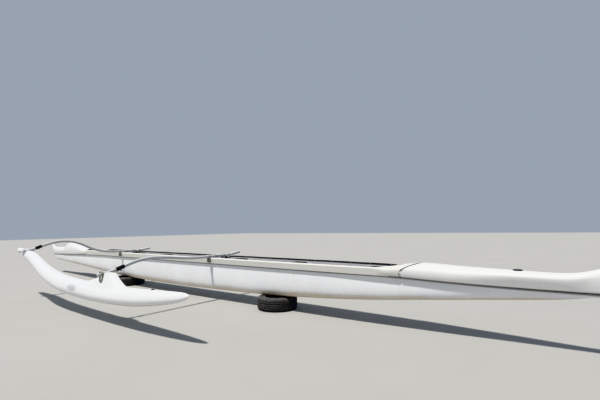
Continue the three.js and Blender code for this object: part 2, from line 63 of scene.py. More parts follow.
# Driving sizes of the hull
BOOM_SPACING = 3.130
FLOAT_OFFSET = 1.960
HULL_INSET = 0.050
STERN_INSET = 0.014
TUCK = 0.018
DECK_TUCK = 0.026
STERN_TUCK = 0.030
WIDEST = 0.55
STERN_WIDEST = 0.17
GUNWALE_HEIGHT = 0.100
GUNWALE_LIP = 0.050
COCKPIT_AFT = -3.300
COCKPIT_FORE = 5.150
EDGING_AFT = {"PORT": -3.190, "STARBOARD": -3.290}
EDGING_FORE = 4.560
SEAT_TOP = -0.055
SEAM_SWEEP = 0.200
COAMING_SWEEP = 0.140
APRON_AFT = -3.438
DECK_FORE = -3.452
REAR_TYRE_STATION = -1.380
FRONT_TYRE_STATION = 3.150
HATCH_STATION = -4.640
SEAM_POWER = 3.2

# Painted shade: a near-black colour laid along the joints, where shade falls under the overhangs
JOINT_SHADE = (0.062, 0.058, 0.052)


def hull_origin() -> Array:
    """Where the hull frame's origin lies: from the middle of the rear tyre and the top of a seat.

    Returns:
        The origin's place in the object's frame.
    """
    low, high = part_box("tyre_rear")
    return np.array([
        (low.x + high.x) / 2 - REAR_TYRE_STATION,
        (low.y + high.y) / 2,
        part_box("seat_1")[1].z - SEAT_TOP,
    ])


ORIGIN = hull_origin()
FLOOR = -ORIGIN[2]


class Side(Enum):
    """The two sides of the hull; the value is the sign of the across position."""

    PORT = 1
    STARBOARD = -1


def smooth(t: Array | float) -> Array:
    """Smooth step: t squared times (3 - 2 t), with t kept between 0 and 1."""
    u = np.clip(t, 0, 1)
    return u * u * (3 - 2 * u)


def signed_power(c: Array | float, exponent: float) -> Array:
    """The size of c raised to the exponent, with the sign of c."""
    return np.sign(c) * np.abs(c) ** exponent


def round_over(height: Array, radius: Array | float) -> Array:
    """How far a quarter-round edge draws a face back.

    At a height h under the radius r the draw is r minus the root of r squared less (r - h) squared.

    Args:
        height: distance from the edge.
        radius: radius of the quarter round.

    Returns:
        The distance that the face stands back.
    """
    reach = np.clip(radius - height, 0, radius)
    return radius - np.sqrt(np.maximum(radius**2 - reach**2, 0))


def resample(rows: Sequence[Sequence[float]], count: int) -> Array:
    """Evenly spaced points on the broken line through the rows.

    Args:
        rows: points, whose first two columns measure the length.
        count: how many points come back.

    Returns:
        An array of count rows with the same columns.
    """
    line = np.array(rows, float)
    steps = np.hypot(*np.diff(line[:, :2], axis=0).T)
    length = np.concatenate([[0], np.cumsum(steps)])
    want = np.linspace(0, length[-1], count)
    return np.stack([np.interp(want, length, column) for column in line.T], axis=1)


def arc(centre: tuple[float, float], radius: float, start: float, end: float, count: int = 6) -> list:
    """Points of a circle's arc between two angles in degrees."""
    angles = np.radians(np.linspace(start, end, count))
    return [(centre[0] + radius * math.cos(a), centre[1] + radius * math.sin(a)) for a in angles]


class Rows:
    """A smooth curve through a short table, given in millimetres and read in metres.

    Between two rows the value is a cubic. Its slope at a row is that of the chord between
    the row's neighbours; the first and the last interval use their own chord at the open end.
    """

    def __init__(self, *rows: Sequence[float]) -> None:
        """Keeps the table, whose first column is the place along the curve."""
        self.table = np.array(rows, float) * MM

    def __call__(self, x: Array | float, column: int = 1) -> Array:
        """The value of one column at the places x.

        Args:
            x: places along the curve.
            column: number of the column.

        Returns:
            The values in metres.
        """
        place, value = self.table[:, 0], self.table[:, column]
        x = np.clip(x, place[0], place[-1])
        k = np.clip(np.searchsorted(place, x, side="right") - 1, 0, len(place) - 2)
        chord = np.diff(value) / np.diff(place)
        slope = np.concatenate([chord[:1], (value[2:] - value[:-2]) / (place[2:] - place[:-2]), chord[-1:]])
        width = place[k + 1] - place[k]
        t = (x - place[k]) / width
        start = value[k] * (2 * t**3 - 3 * t**2 + 1) + slope[k] * width * (t**3 - 2 * t**2 + t)
        end = value[k + 1] * (3 * t**2 - 2 * t**3) + slope[k + 1] * width * (t**3 - t**2)
        return start + end


@dataclass(frozen=True)
class Lines:
    """The hull's lines: half width, keel, joint and deck tops by station, in millimetres."""

    # Station and half width of the gunwale and the decks
    half_width: Rows = Rows(
        (-5480, 18), (-5440, 36), (-5300, 57), (-5000, 84), (-4600, 118), (-4200, 148), (-3800, 172),
        (-3400, 190), (-2800, 206), (-2000, 214), (-1000, 215), (3000, 215), (3600, 210), (4200, 198),
        (4800, 180), (5400, 156), (6000, 125), (6600, 92), (7200, 58), (7550, 40), (7720, 30), (7800, 14),
    )
    # Station and height of the keel
    keel: Rows = Rows(
        (-5480, -176), (-5340, -182), (-5130, -206), (-4820, -242), (-4470, -280), (-3970, -332),
        (-3640, -365), (-3130, -418), (-2700, -455), (-2040, -500), (-1500, -530), (-830, -549),
        (0, -566), (800, -578), (1800, -577), (2360, -570), (3000, -553), (3600, -531), (4480, -485),
        (5050, -450), (5700, -418), (6400, -382), (7000, -350), (7500, -325), (7800, -312),
    )
    # Station and height of the joint between hull and deck
    joint: Rows = Rows(
        (-5480, -146), (-5000, -144), (-4600, -140), (-4200, -130), (-3800, -117), (-3400, -103),
        (-2900, -100), (-2000, -100),
        (4000, -100), (5100, -118), (5700, -138), (6400, -160), (7200, -185), (7800, -200),
    )
    # Station and height of the stern deck along its middle
    stern_top: Rows = Rows(
        (-5480, 108), (-5440, 128), (-5400, 123), (-5300, 84), (-5200, 54), (-5100, 37), (-4950, 30),
        (-4800, 32), (-4400, 42), (-4000, 51), (-3750, 61), (-3500, 68), (-3400, 61), (-3300, 38),
    )
    # Station and height of the bow deck along its middle
    bow_top: Rows = Rows(
        (5150, 24), (5400, 62), (5650, 108), (5900, 148), (6200, 172), (6400, 170), (6540, 146),
        (6620, 96), (6700, 54), (6800, 40), (7200, 30), (7480, 28), (7600, 42), (7700, 76), (7760, 104),
        (7800, 92),
    )
    stern_end: float = -5.480
    bow_end: float = 7.800
    nose_radius: float = 0.009
    flange_wide: float = 0.012
    foot_round: float = 0.010
    # Share of the way round a deck's section that its side takes, and the crown's exponent
    side_share: float = 0.3
    crown_exponent: float = 0.93
    # Least half width of the hull's rim as a share of the deck's, and how much less at the stern
    rim_share: float = 0.5
    stern_rim_less: float = 0.18

    def leaned(self, x: Array, z: Array) -> Array:
        """The station moved so that the foot of each end face stands inside its tip.

        At the bow the foot moves aft by up to 0.19 m over the last 0.6 m, and at the stern
        forward by up to 0.14 m over the last 0.53 m, both by a smooth step of the height.

        Args:
            x: stations.
            z: heights.

        Returns:
            The moved stations.
        """
        bow = smooth((x - 7.2) / 0.6) * 0.19 * smooth((0.11 - z) / 0.42)
        stern = smooth((-4.95 - x) / 0.53) * 0.14 * smooth((0.14 - z) / 0.3)
        return x - bow + stern

    def nose(self, x: Array) -> Array:
        """Share of the width that is left near the tips, whose ends are half round.

        The root of 1 less the squared share of the radius that is left to the end.

        Args:
            x: stations.

        Returns:
            Shares from 0.1 to 1.
        """
        end = np.minimum(x - self.stern_end, self.bow_end - x)
        t = np.clip(1 - end / self.nose_radius, 0, 0.995)
        return np.sqrt(1 - t**2)

    def hull_power(self, x: Array) -> Array:
        """Exponent of the hull's section: 3.7 amidships, 1.45 at the bow and 1.2, nearly a V, aft."""
        full = 1.45 + 2.25 * smooth((x + 5.4) / 2.6) * smooth((self.bow_end - x) / 3.0)
        return full + (1.2 - full) * smooth((-4.0 - x) / 0.6)

    def hull_wide(self, x: Array) -> Array:
        """Half width of the hull's rim: inside the gunwale, further aft, and a share of it at the ends.

        Args:
            x: stations.

        Returns:
            Half widths in metres.
        """
        b = self.half_width(x)
        inset = HULL_INSET + STERN_INSET * smooth((-2.3 - x) / 1.2)
        least = self.rim_share - self.stern_rim_less * self.sternward(x)
        return np.maximum(b - inset, b * least)

    def flange_edge(self, x: Array) -> Array:
        """Half width at the inner edge of the flanges that lie on the hull's rim."""
        return self.hull_wide(x) - self.flange_wide

    @staticmethod
    def sternward(x: Array) -> Array:
        """Share of the stern's own section: 0 up to the stern deck's first part, 1 towards its tip."""
        return smooth((-3.9 - x) / 0.8) * smooth((x + 5.46) / 0.25)

    def arch(self, x: Array, top: Array, share: Array, inset: Array | float = 0.0) -> tuple[Array, Array]:
        """A deck's section, from the port foot over the crown to the starboard foot.

        Its widest place is at 0.55 of its height, and higher towards the stern's tip. Above it
        lies half a superellipse of power 2.15; below it the side draws in by a power of the
        share of height that is left, 2 and towards the stern's tip 1.4, and the foot ends in a
        quarter round.

        Args:
            x: stations.
            top: height of the crown.
            share: way round the section, 0 at the port foot, 0.5 at the crown and 1 at the other foot.
            inset: how far inside the outer skin the section lies.

        Returns:
            The across and the up positions.
        """
        b = self.half_width(x) * self.nose(x)
        inset = np.minimum(inset, 0.35 * b)
        foot, top = self.joint(x) + GAP + inset, top - inset
        more = self.sternward(x)
        widest = foot + (WIDEST + STERN_WIDEST * more) * (top - foot)
        way = 1 - np.abs(2 * share - 1)
        low = np.clip(way / self.side_share, 0, 1)
        angle = np.clip((way - self.side_share) / (1 - self.side_share), 0, 1) * math.pi / 2
        side = foot + (widest - foot) * low
        crown = widest + (top - widest) * np.sin(angle) ** self.crown_exponent
        up = np.where(way < self.side_share, side, crown)
        tuck = np.minimum(DECK_TUCK + STERN_TUCK * more, 0.62 * b) * (1 - low) ** (2 - 0.6 * more)
        draw = tuck + round_over(up - foot, np.minimum(self.foot_round, 0.3 * b))
        across = (b - inset) * np.cos(angle) ** self.crown_exponent - draw
        return np.sign(0.5 - share) * np.maximum(across, 0), up

    def hull_sheet(self, x: Array, turn: Array, inset: float = 0.0) -> Array:
        """The hull's skin from the port rim round the keel to the starboard rim.

        A section is half of a superellipse: across is the width times the cosine, down is the
        depth times the sine, each raised to 2 over the section's exponent.

        Args:
            x: stations.
            turn: angles from 0 at the port rim to pi at the starboard rim.
            inset: how far inside the outer skin the sheet lies.

        Returns:
            Points, one row for each station.
        """
        x = x[:, None]
        inset = np.minimum(inset, 0.4 * self.half_width(x))
        c, s = np.cos(turn)[None], np.sin(turn)[None]
        wide = self.hull_wide(x) * self.nose(x) - inset
        keel, joint = self.keel(x) + inset, self.joint(x)
        p = 2 / self.hull_power(x)
        y = np.sign(c) * np.maximum(wide, 0.0005) * np.abs(c) ** p
        z = joint - (joint - keel) * np.abs(s) ** p
        return np.stack([self.leaned(x, z), y, z], axis=-1)


LINES = Lines()


class Shader:
    """A material's node tree, with the few kinds of node that the finishes are made of."""

    def __init__(self, name: str) -> None:
        """Starts a material with one principled surface.

        Args:
            name: the material's name.
        """
        self.material = bpy.data.materials.new(name)
        self.material.use_nodes = True
        self.tree = self.material.node_tree
        self.surface = self.tree.nodes["Principled BSDF"]
        self.place = self.add("ShaderNodeTexCoord").outputs["Object"]
        self.height: Socket | None = None

    def add(self, kind: str, **settings: object) -> bpy.types.Node:
        """Adds a node and sets its properties.

        Args:
            kind: the kind of node.
            settings: its properties by name.

        Returns:
            The new node.
        """
        node = self.tree.nodes.new(kind)
        for name, value in settings.items():
            setattr(node, name, value)
        return node

    def put(self, socket: Socket, value: object) -> None:
        """Links a socket or sets its constant.

        Args:
            socket: the input.
            value: a socket, a colour or a number.
        """
        if isinstance(value, bpy.types.NodeSocket):
            self.tree.links.new(value, socket)
        elif isinstance(value, tuple) and len(value) == 3 and len(socket.default_value) == 4:
            socket.default_value = (*value, 1.0)
        else:
            socket.default_value = value

    def constants(self, **values: float) -> None:
        """Sets plain numbers on the surface, by the socket's name with _ for a space."""
        for name, value in values.items():
            self.put(self.surface.inputs[name.replace("_", " ")], value)

    def noise(self, size: float, stretch: Colour = (1, 1, 1), detail: float = 3.0, rough: float = 0.55,
              warp: float = 0.0) -> Socket:
        """Cloudy pattern.

        Args:
            size: typical width of a spot in metres.
            stretch: how much each axis is squeezed; under 1 draws the spots out.
            detail: number of finer layers.
            rough: strength of the finer layers.
            warp: how far the pattern is bent by itself.

        Returns:
            The pattern's value, about 0.3 to 0.7.
        """
        node = self.add("ShaderNodeTexNoise")
        self.put(node.inputs["Vector"], self.squeezed(stretch))
        settings = {"Scale": 1 / size, "Detail": detail, "Roughness": rough, "Distortion": warp}
        for name, value in settings.items():
            node.inputs[name].default_value = value
        return node.outputs["Fac"]

    def squeezed(self, stretch: Colour) -> Socket:
        """The object's own coordinates, each axis multiplied by a number.

        Args:
            stretch: the three factors.

        Returns:
            The coordinates.
        """
        mapping = self.add("ShaderNodeMapping")
        mapping.inputs["Scale"].default_value = stretch
        self.put(mapping.inputs["Vector"], self.place)
        return mapping.outputs["Vector"]

    def near(self, centre: Colour, stretch: Colour, size: float) -> Socket:
        """1 round a place and 0 past the size from it, both measured with the axes squeezed.

        Args:
            centre: the place in metres.
            stretch: factors of the three axes.
            size: distance at which it has fallen to 0.

        Returns:
            The value.
        """
        node = self.add("ShaderNodeVectorMath", operation="DISTANCE")
        self.put(node.inputs[0], self.squeezed(stretch))
        node.inputs[1].default_value = tuple(c * s for c, s in zip(centre, stretch))
        return self.band(node.outputs["Value"], size, 0.3 * size)

    def band(self, value: Socket, low: float, high: float, start: float = 0.0, end: float = 1.0) -> Socket:
        """Value between low and high stretched to start and end, and kept there.

        Args:
            value: what is stretched.
            low: the value that gives start.
            high: the value that gives end.
            start: the result at and below low.
            end: the result at and above high.

        Returns:
            The stretched value.
        """
        node = self.add("ShaderNodeMapRange", interpolation_type="SMOOTHSTEP")
        limits = {"Value": value, "From Min": low, "From Max": high, "To Min": start, "To Max": end}
        for name, number in limits.items():
            self.put(node.inputs[name], number)
        return node.outputs["Result"]

    def math(self, operation: str, first: object, second: object = 0.0) -> Socket:
        """One arithmetic step.

        Args:
            operation: the step's name.
            first: first number.
            second: second number.

        Returns:
            The result.
        """
        node = self.add("ShaderNodeMath", operation=operation)
        self.put(node.inputs[0], first)
        self.put(node.inputs[1], second)
        return node.outputs[0]

    def mix(self, share: object, first: object, second: object) -> Socket:
        """Colour between the first and the second.

        Args:
            share: 0 for the first colour, 1 for the second.
            first: first colour.
            second: second colour.

        Returns:
            The colour.
        """
        node = self.add("ShaderNodeMix", data_type="RGBA")
        self.put(node.inputs[0], share)
        self.put(node.inputs[6], first)
        self.put(node.inputs[7], second)
        return node.outputs[2]

    def axis(self, name: str, place: Socket | None = None) -> Socket:
        """One coordinate, X, Y or Z.

        Args:
            name: X, Y or Z.
            place: a vector, the object's coordinates when none is given.

        Returns:
            The coordinate.
        """
        node = self.add("ShaderNodeSeparateXYZ")
        self.put(node.inputs[0], place or self.place)
        return node.outputs[name]

    def measure(self, name: str) -> Socket:
        """A number that the mesh carries at each vertex."""
        return self.add("ShaderNodeAttribute", attribute_name=name).outputs["Fac"]

    def painted_joint_shade(self, colour: object, reach: float) -> Socket:
        """The colour with painted shade, near black, along the joint, fading over the reach in metres."""
        return self.mix(self.band(self.measure("seam"), reach, 0.3 * reach, 0, 0.85), colour, JOINT_SHADE)

    def relief(self, height: Socket, depth: float) -> None:
        """Adds a relief of that depth in metres to the surface.

        Args:
            height: the pattern of the relief.
            depth: its depth.
        """
        node = self.add("ShaderNodeBump")
        node.inputs["Strength"].default_value = 1.0
        node.inputs["Distance"].default_value = depth
        self.put(node.inputs["Height"], height)
        if self.height is not None:
            self.put(node.inputs["Normal"], self.height)
        self.height = node.outputs["Normal"]

    def finish(self, colour: object, rough: object) -> bpy.types.Material:
        """Sets colour and roughness, joins the reliefs and gives the material.

        Args:
            colour: base colour.
            rough: roughness.

        Returns:
            The finished material.
        """
        self.put(self.surface.inputs["Base Color"], colour)
        self.put(self.surface.inputs["Roughness"], rough)
        if self.height is not None:
            self.put(self.surface.inputs["Normal"], self.height)
        return self.material


@dataclass(frozen=True)
class Finish:
    """A finish: what every one has, and the material that it makes once."""

    name: str
    colour: Colour

    def build(self) -> bpy.types.Material:
        """Makes the material; each kind of finish has its own way."""
        raise NotImplementedError

    def material(self) -> bpy.types.Material:
        """The finished material, made at its first use."""
        return bpy.data.materials.get(self.name) or self.build()


@dataclass(frozen=True)
class Gelcoat(Finish):
    """Sprayed gloss resin: fair but not perfect, with grime, rain streaks, specks, scratches, painted shade
    at the joint and a painted ground reflection low on the hull.
    """

    soil: Colour = (0.42, 0.37, 0.28)
    rough: float = 0.32
    grime: float = 0.5
    streaks: float = 0.35
    # Amount of the painted ground reflection and shade low on the hull, and of the scuffs near the keel.
    keel_reflection_and_wear: float = 0.0
    # Reach in metres of the painted shade along the joint; 0 for none.
    seam: float = 0.0
    smudge: Colour | None = None

    def build(self) -> bpy.types.Material:
        """Layers of soiling, painted ground reflection and painted shade over the resin's own colour.

        Returns:
            The material.
        """
        s = Shader(self.name)
        cloud = s.noise(0.7, detail=5)
        fine = s.noise(0.035, detail=6, rough=0.65)
        drip = s.noise(0.018, (1, 1, 0.07), detail=4)
        wear = s.noise(0.006, (0.12, 1, 1), detail=3)
        speck = s.band(s.noise(0.0045, detail=1), 0.71, 0.75)
        tone = s.mix(s.band(cloud, 0.3, 0.7), self.colour, tuple(c * 0.93 for c in self.colour))
        dirt = s.math("MULTIPLY", s.band(drip, 0.52, 0.74), s.band(cloud, 0.38, 0.66, 0, self.streaks))
        dirt = s.math("ADD", dirt, s.math("MULTIPLY", s.band(fine, 0.5, 0.8), 0.22 * self.grime))
        dirt = s.math("ADD", dirt, s.math("MULTIPLY", speck, 0.4 * self.grime))
        # Painted reflection of the ground with painted shade: the lower hull goes towards the tan soil
        # colour, with scuffs near the keel.
        if self.keel_reflection_and_wear:
            low = s.math("SUBTRACT", s.measure("rise"), s.math("MULTIPLY", cloud, 0.22))
            ground_reflection = s.band(low, 0.16, -0.06, 0, self.keel_reflection_and_wear)
            rub = s.math("MULTIPLY", s.band(wear, 0.5, 0.66), s.band(low, 0.05, -0.2))
            dirt = s.math("ADD", dirt, s.math("MULTIPLY", ground_reflection, s.band(fine, 0.2, 0.75, 0.6, 1)))
            dirt = s.math("ADD", dirt, s.math("MULTIPLY", rub, 0.5 * self.keel_reflection_and_wear))
        colour = s.mix(dirt, tone, self.soil)
        if self.smudge:
            near = s.near(self.smudge, (0.5, 1, 1.7), 0.12)
            patch = s.math("MULTIPLY", near, s.band(fine, 0.3, 0.6, 0.4, 0.75))
            colour = s.mix(patch, colour, (0.26, 0.30, 0.34))
        # Painted shade along the joint, and on the decks along the groove too.
        if self.seam:
            colour = s.painted_joint_shade(colour, self.seam)
        s.relief(s.noise(0.55, (0.5, 1, 1), detail=1), 0.0028)
        s.relief(s.noise(0.0035, detail=1), 0.00003)
        s.relief(wear, 0.00006 + 0.0001 * self.keel_reflection_and_wear)
        s.constants(Coat_Weight=0.35, Coat_Roughness=0.1, IOR=1.5)
        rough = s.band(s.math("ADD", fine, s.math("MULTIPLY", dirt, 0.6)), 0.3, 1.0, self.rough * 0.8,
                       self.rough + 0.35)
        return s.finish(colour, rough)


@dataclass(frozen=True)
class Resin(Finish):
    """Painted lay-up seen inside the hull: a coarse woven cloth under brushed resin, with grit."""

    pitch: float = 0.007

    def build(self) -> bpy.types.Material:
        """Two crossed waves make the cloth; grit gathers low in the hull.

        Returns:
            The material.
        """
        s = Shader(self.name)
        waves = []
        for axis in ("X", "Z"):
            step = s.math("MULTIPLY", s.axis(axis), TURN / self.pitch)
            waves.append(s.math("SINE", step))
        cloth = s.math("MULTIPLY", *waves)
        cloud = s.noise(0.25, detail=5)
        fine = s.noise(0.012, detail=5, rough=0.7)
        grit = s.band(s.noise(0.005, detail=2), 0.62, 0.7)
        low = s.band(s.math("ADD", s.axis("Z"), s.math("MULTIPLY", cloud, 0.1)), 0.42, 0.2)
        tone = s.mix(s.band(cloud, 0.35, 0.65), self.colour, tuple(c * 0.8 for c in self.colour))
        dirt = s.math("MULTIPLY", low, s.band(fine, 0.35, 0.65, 0.25, 0.8))
        dirt = s.math("ADD", dirt, s.math("MULTIPLY", grit, 0.35))
        s.relief(cloth, 0.00022)
        s.relief(s.noise(0.05, detail=4), 0.0012)
        return s.finish(s.mix(dirt, tone, (0.33, 0.28, 0.2)), s.band(fine, 0.3, 0.7, 0.4, 0.62))


@dataclass(frozen=True)
class Paint(Finish):
    """Brushed or sprayed paint that chips to what lies below and holds dust in patches."""

    below: Colour = (0.34, 0.29, 0.22)
    rough: float = 0.45
    chips: float = 0.5
    along: Colour = (0.06, 1, 1)
    dust: float = 0.3
    # Reach in metres of the painted shade along the joint at the foot; 0 for none.
    seam: float = 0.0
    bare_from: float | None = None
    bare: Colour = (0.74, 0.65, 0.50)

    def build(self) -> bpy.types.Material:
        """Brush marks run along the piece; chips follow a pattern with hard edges.

        Returns:
            The material.
        """
        s = Shader(self.name)
        brush = s.noise(0.004, self.along, detail=4)
        cloud = s.noise(0.2, detail=5)
        fine = s.noise(0.02, detail=6, rough=0.7)
        chip = s.math("MULTIPLY", s.band(fine, 0.66, 0.69), s.band(cloud, 0.46, 0.62, 0, self.chips))
        tone = s.mix(s.band(cloud, 0.3, 0.7), self.colour, tuple(c * 0.86 for c in self.colour))
        tone = s.mix(s.band(fine, 0.45, 0.8, 0, self.dust), tone, (0.42, 0.38, 0.3))
        colour = s.mix(chip, tone, self.below)
        rough = s.band(fine, 0.3, 0.7, self.rough, self.rough + 0.18)
        if self.bare_from is not None:
            edge = s.math("ADD", s.axis("Y"), s.math("MULTIPLY", fine, 0.03))
            bare = s.band(edge, self.bare_from, self.bare_from + 0.01)
            grain = s.mix(s.band(brush, 0.35, 0.65), self.bare, tuple(c * 0.72 for c in self.bare))
            colour = s.mix(bare, colour, grain)
        # Painted shade along the joint at the gunwale's foot.
        if self.seam:
            colour = s.painted_joint_shade(colour, self.seam)
        s.relief(brush, 0.0003)
        s.relief(chip, -0.0002)
        return s.finish(colour, rough)


@dataclass(frozen=True)
class Timber(Finish):
    """Oiled wood with its grain along one axis."""

    along: Colour = (1, 0.05, 1)
    dark: Colour = (0.25, 0.15, 0.08)

    def build(self) -> bpy.types.Material:
        """Broad growth bands with fine pores drawn out along the grain.

        Returns:
            The material.
        """
        s = Shader(self.name)
        bands = s.noise(0.018, self.along, detail=4, warp=0.6)
        pores = s.noise(0.0016, self.along, detail=2)
        tone = s.mix(s.band(bands, 0.35, 0.68), self.colour, self.dark)
        tone = s.mix(s.band(pores, 0.6, 0.74, 0, 0.6), tone, tuple(c * 0.4 for c in self.dark))
        s.relief(pores, -0.0002)
        s.relief(bands, 0.0004)
        return s.finish(tone, s.band(bands, 0.3, 0.7, 0.45, 0.65))


@dataclass(frozen=True)
class Rubber(Finish):
    """Black rubber or foam, greyed by sun and dust."""

    dust: Colour = (0.3, 0.27, 0.22)
    dusty: float = 0.3
    rough: float = 0.6
    grain: float = 0.0012
    depth: float = 0.0002

    def build(self) -> bpy.types.Material:
        """Pores of one size, and dust in patches that is thicker where the face looks up.

        Returns:
            The material.
        """
        s = Shader(self.name)
        pores = s.noise(self.grain, detail=2)
        cloud = s.noise(0.06, detail=6, rough=0.65)
        up = s.axis("Z", s.add("ShaderNodeNewGeometry").outputs["Normal"])
        lies = s.band(up, -0.3, 0.9, 0.35, 1)
        amount = s.math("MULTIPLY", s.band(cloud, 0.4, 0.75, 0.15, 1), lies)
        colour = s.mix(s.math("MULTIPLY", amount, self.dusty), self.colour, self.dust)
        s.relief(pores, self.depth)
        return s.finish(colour, s.band(cloud, 0.3, 0.7, self.rough, self.rough + 0.2))


@dataclass(frozen=True)
class Cord(Finish):
    """Laid cord: strands that twist round its own length, read from the piece's UV map."""

    strand: float = 0.011
    soil: Colour = (0.2, 0.18, 0.13)

    def build(self) -> bpy.types.Material:
        """The strands are a wave of length over the lay plus three times the turn round the cord.

        Returns:
            The material.
        """
        s = Shader(self.name)
        uv = s.add("ShaderNodeUVMap", uv_map="UVMap").outputs["UV"]
        along = s.math("MULTIPLY", s.axis("X", uv), TURN / self.strand)
        around = s.math("MULTIPLY", s.axis("Y", uv), 3 * TURN)
        strands = s.math("SINE", s.math("ADD", along, around))
        fuzz = s.noise(0.0012, detail=3)
        cloud = s.noise(0.03, detail=5)
        # Painted shade: the colour is darkened to under half in the valleys between the strands.
        tone = s.mix(s.band(strands, -1, 0.3), tuple(c * 0.45 for c in self.colour), self.colour)
        tone = s.mix(s.band(cloud, 0.42, 0.7, 0, 0.65), tone, self.soil)
        s.relief(strands, 0.0006)
        s.relief(fuzz, 0.0003)
        s.constants(Sheen_Weight=0.25, Sheen_Roughness=0.5)
        return s.finish(tone, s.band(fuzz, 0.3, 0.7, 0.7, 0.95))


@dataclass(frozen=True)
class Moulding(Finish):
    """Moulded plastic or metal fitting with a fine grain and scuffs."""

    metal: float = 0.0
    rough: float = 0.4

    def build(self) -> bpy.types.Material:
        """Scuffs lighten the grain's high spots.

        Returns:
            The material.
        """
        s = Shader(self.name)
        grain = s.noise(0.0009, detail=2)
        scuff = s.noise(0.01, detail=6, rough=0.7)
        lighter = tuple(min(c * 1.9 + 0.04, 1.0) for c in self.colour)
        colour = s.mix(s.band(scuff, 0.5, 0.8, 0, 0.6), self.colour, lighter)
        s.constants(Metallic=self.metal)
        s.relief(grain, 0.00008)
        return s.finish(colour, s.band(scuff, 0.3, 0.7, self.rough, self.rough + 0.25))


@dataclass(frozen=True)
class Ground(Finish):
    """The studio's plain pale floor."""

    def build(self) -> bpy.types.Material:
        """A matt tone with a barely visible cloudiness.

        Returns:
            The material.
        """
        s = Shader(self.name)
        cloud = s.noise(1.5, detail=3)
        colour = s.mix(s.band(cloud, 0.3, 0.7), self.colour, tuple(c * 0.97 for c in self.colour))
        return s.finish(colour, s.band(cloud, 0.3, 0.7, 0.85, 0.95))


WHITE = (0.80, 0.81, 0.83)
# The hull's tan soil colour is also the colour of the painted ground reflection low on the hull.
HULL_WHITE = Gelcoat("hull_gelcoat", WHITE, soil=(0.58, 0.49, 0.36), keel_reflection_and_wear=0.9, grime=0.5, streaks=0.3,
                     seam=0.026)
DECK_WHITE = Gelcoat("deck_gelcoat", (0.83, 0.83, 0.82), rough=0.26, grime=0.35, streaks=0.12, seam=0.018)
APRON_WHITE = Gelcoat("apron_gelcoat", (0.73, 0.72, 0.68), rough=0.34, grime=0.6, streaks=0.2, seam=0.018)
FLOAT_WHITE = Gelcoat("float_gelcoat", (0.81, 0.82, 0.83), rough=0.32, grime=0.7, streaks=0.25,
                      smudge=(-0.33, 1.245, 0.410))
GUNWALE_CREAM = Paint("gunwale_cream", (0.545, 0.525, 0.425), below=(0.7, 0.7, 0.66), rough=0.4, chips=0.4,
                      dust=0.28, seam=0.013)
FLANGE_GREY = Paint("flange_grey", (0.50, 0.50, 0.53), below=(0.7, 0.7, 0.7), rough=0.5, chips=0.3)
INSIDE = Resin("inside_resin", (0.60, 0.61, 0.61))
BULKHEAD = Resin("bulkhead_resin", (0.55, 0.56, 0.56), pitch=0.009)
SEAT_GREY = Paint("seat_grey", (0.52, 0.53, 0.52), below=(0.3, 0.3, 0.3), along=(1, 0.06, 1), rough=0.5)
BOOM_GREY = Paint("boom_grey", (0.50, 0.51, 0.51), along=(1, 0.05, 1), rough=0.42, chips=0.7, dust=0.35,
                  bare_from=0.96)
SPREADER_WOOD = Timber("spreader_wood", (0.48, 0.33, 0.19))
EDGING_BLACK = Rubber("edging_black", (0.012, 0.012, 0.013), dusty=0.06, rough=0.5)
FOAM_BLACK = Rubber("foam_black", (0.018, 0.018, 0.019), dusty=0.16, rough=0.85, grain=0.0022, depth=0.0006)
WRAP_BLACK = Rubber("wrap_black", (0.012, 0.012, 0.013), dusty=0.14, rough=0.45)
TAPE_WHITE = Rubber("tape_white", (0.78, 0.79, 0.80), dust=(0.5, 0.48, 0.43), dusty=0.4, rough=0.55)
TYRE_BLACK = Rubber("tyre_black", (0.028, 0.028, 0.03), dust=(0.2, 0.19, 0.18), dusty=0.5, rough=0.78,
                    grain=0.0018, depth=0.0004)
CORD_OLIVE = Cord("cord_olive", (0.33, 0.34, 0.29))
CORD_PALE = Cord("cord_pale", (0.62, 0.66, 0.68), soil=(0.36, 0.35, 0.3))
PLASTIC = Moulding("fitting_plastic", (0.03, 0.03, 0.035))
STEEL = Moulding("fitting_steel", (0.55, 0.55, 0.54), metal=1.0, rough=0.32)
FLOOR_TONE = Ground("studio_floor", (0.34, 0.335, 0.32))


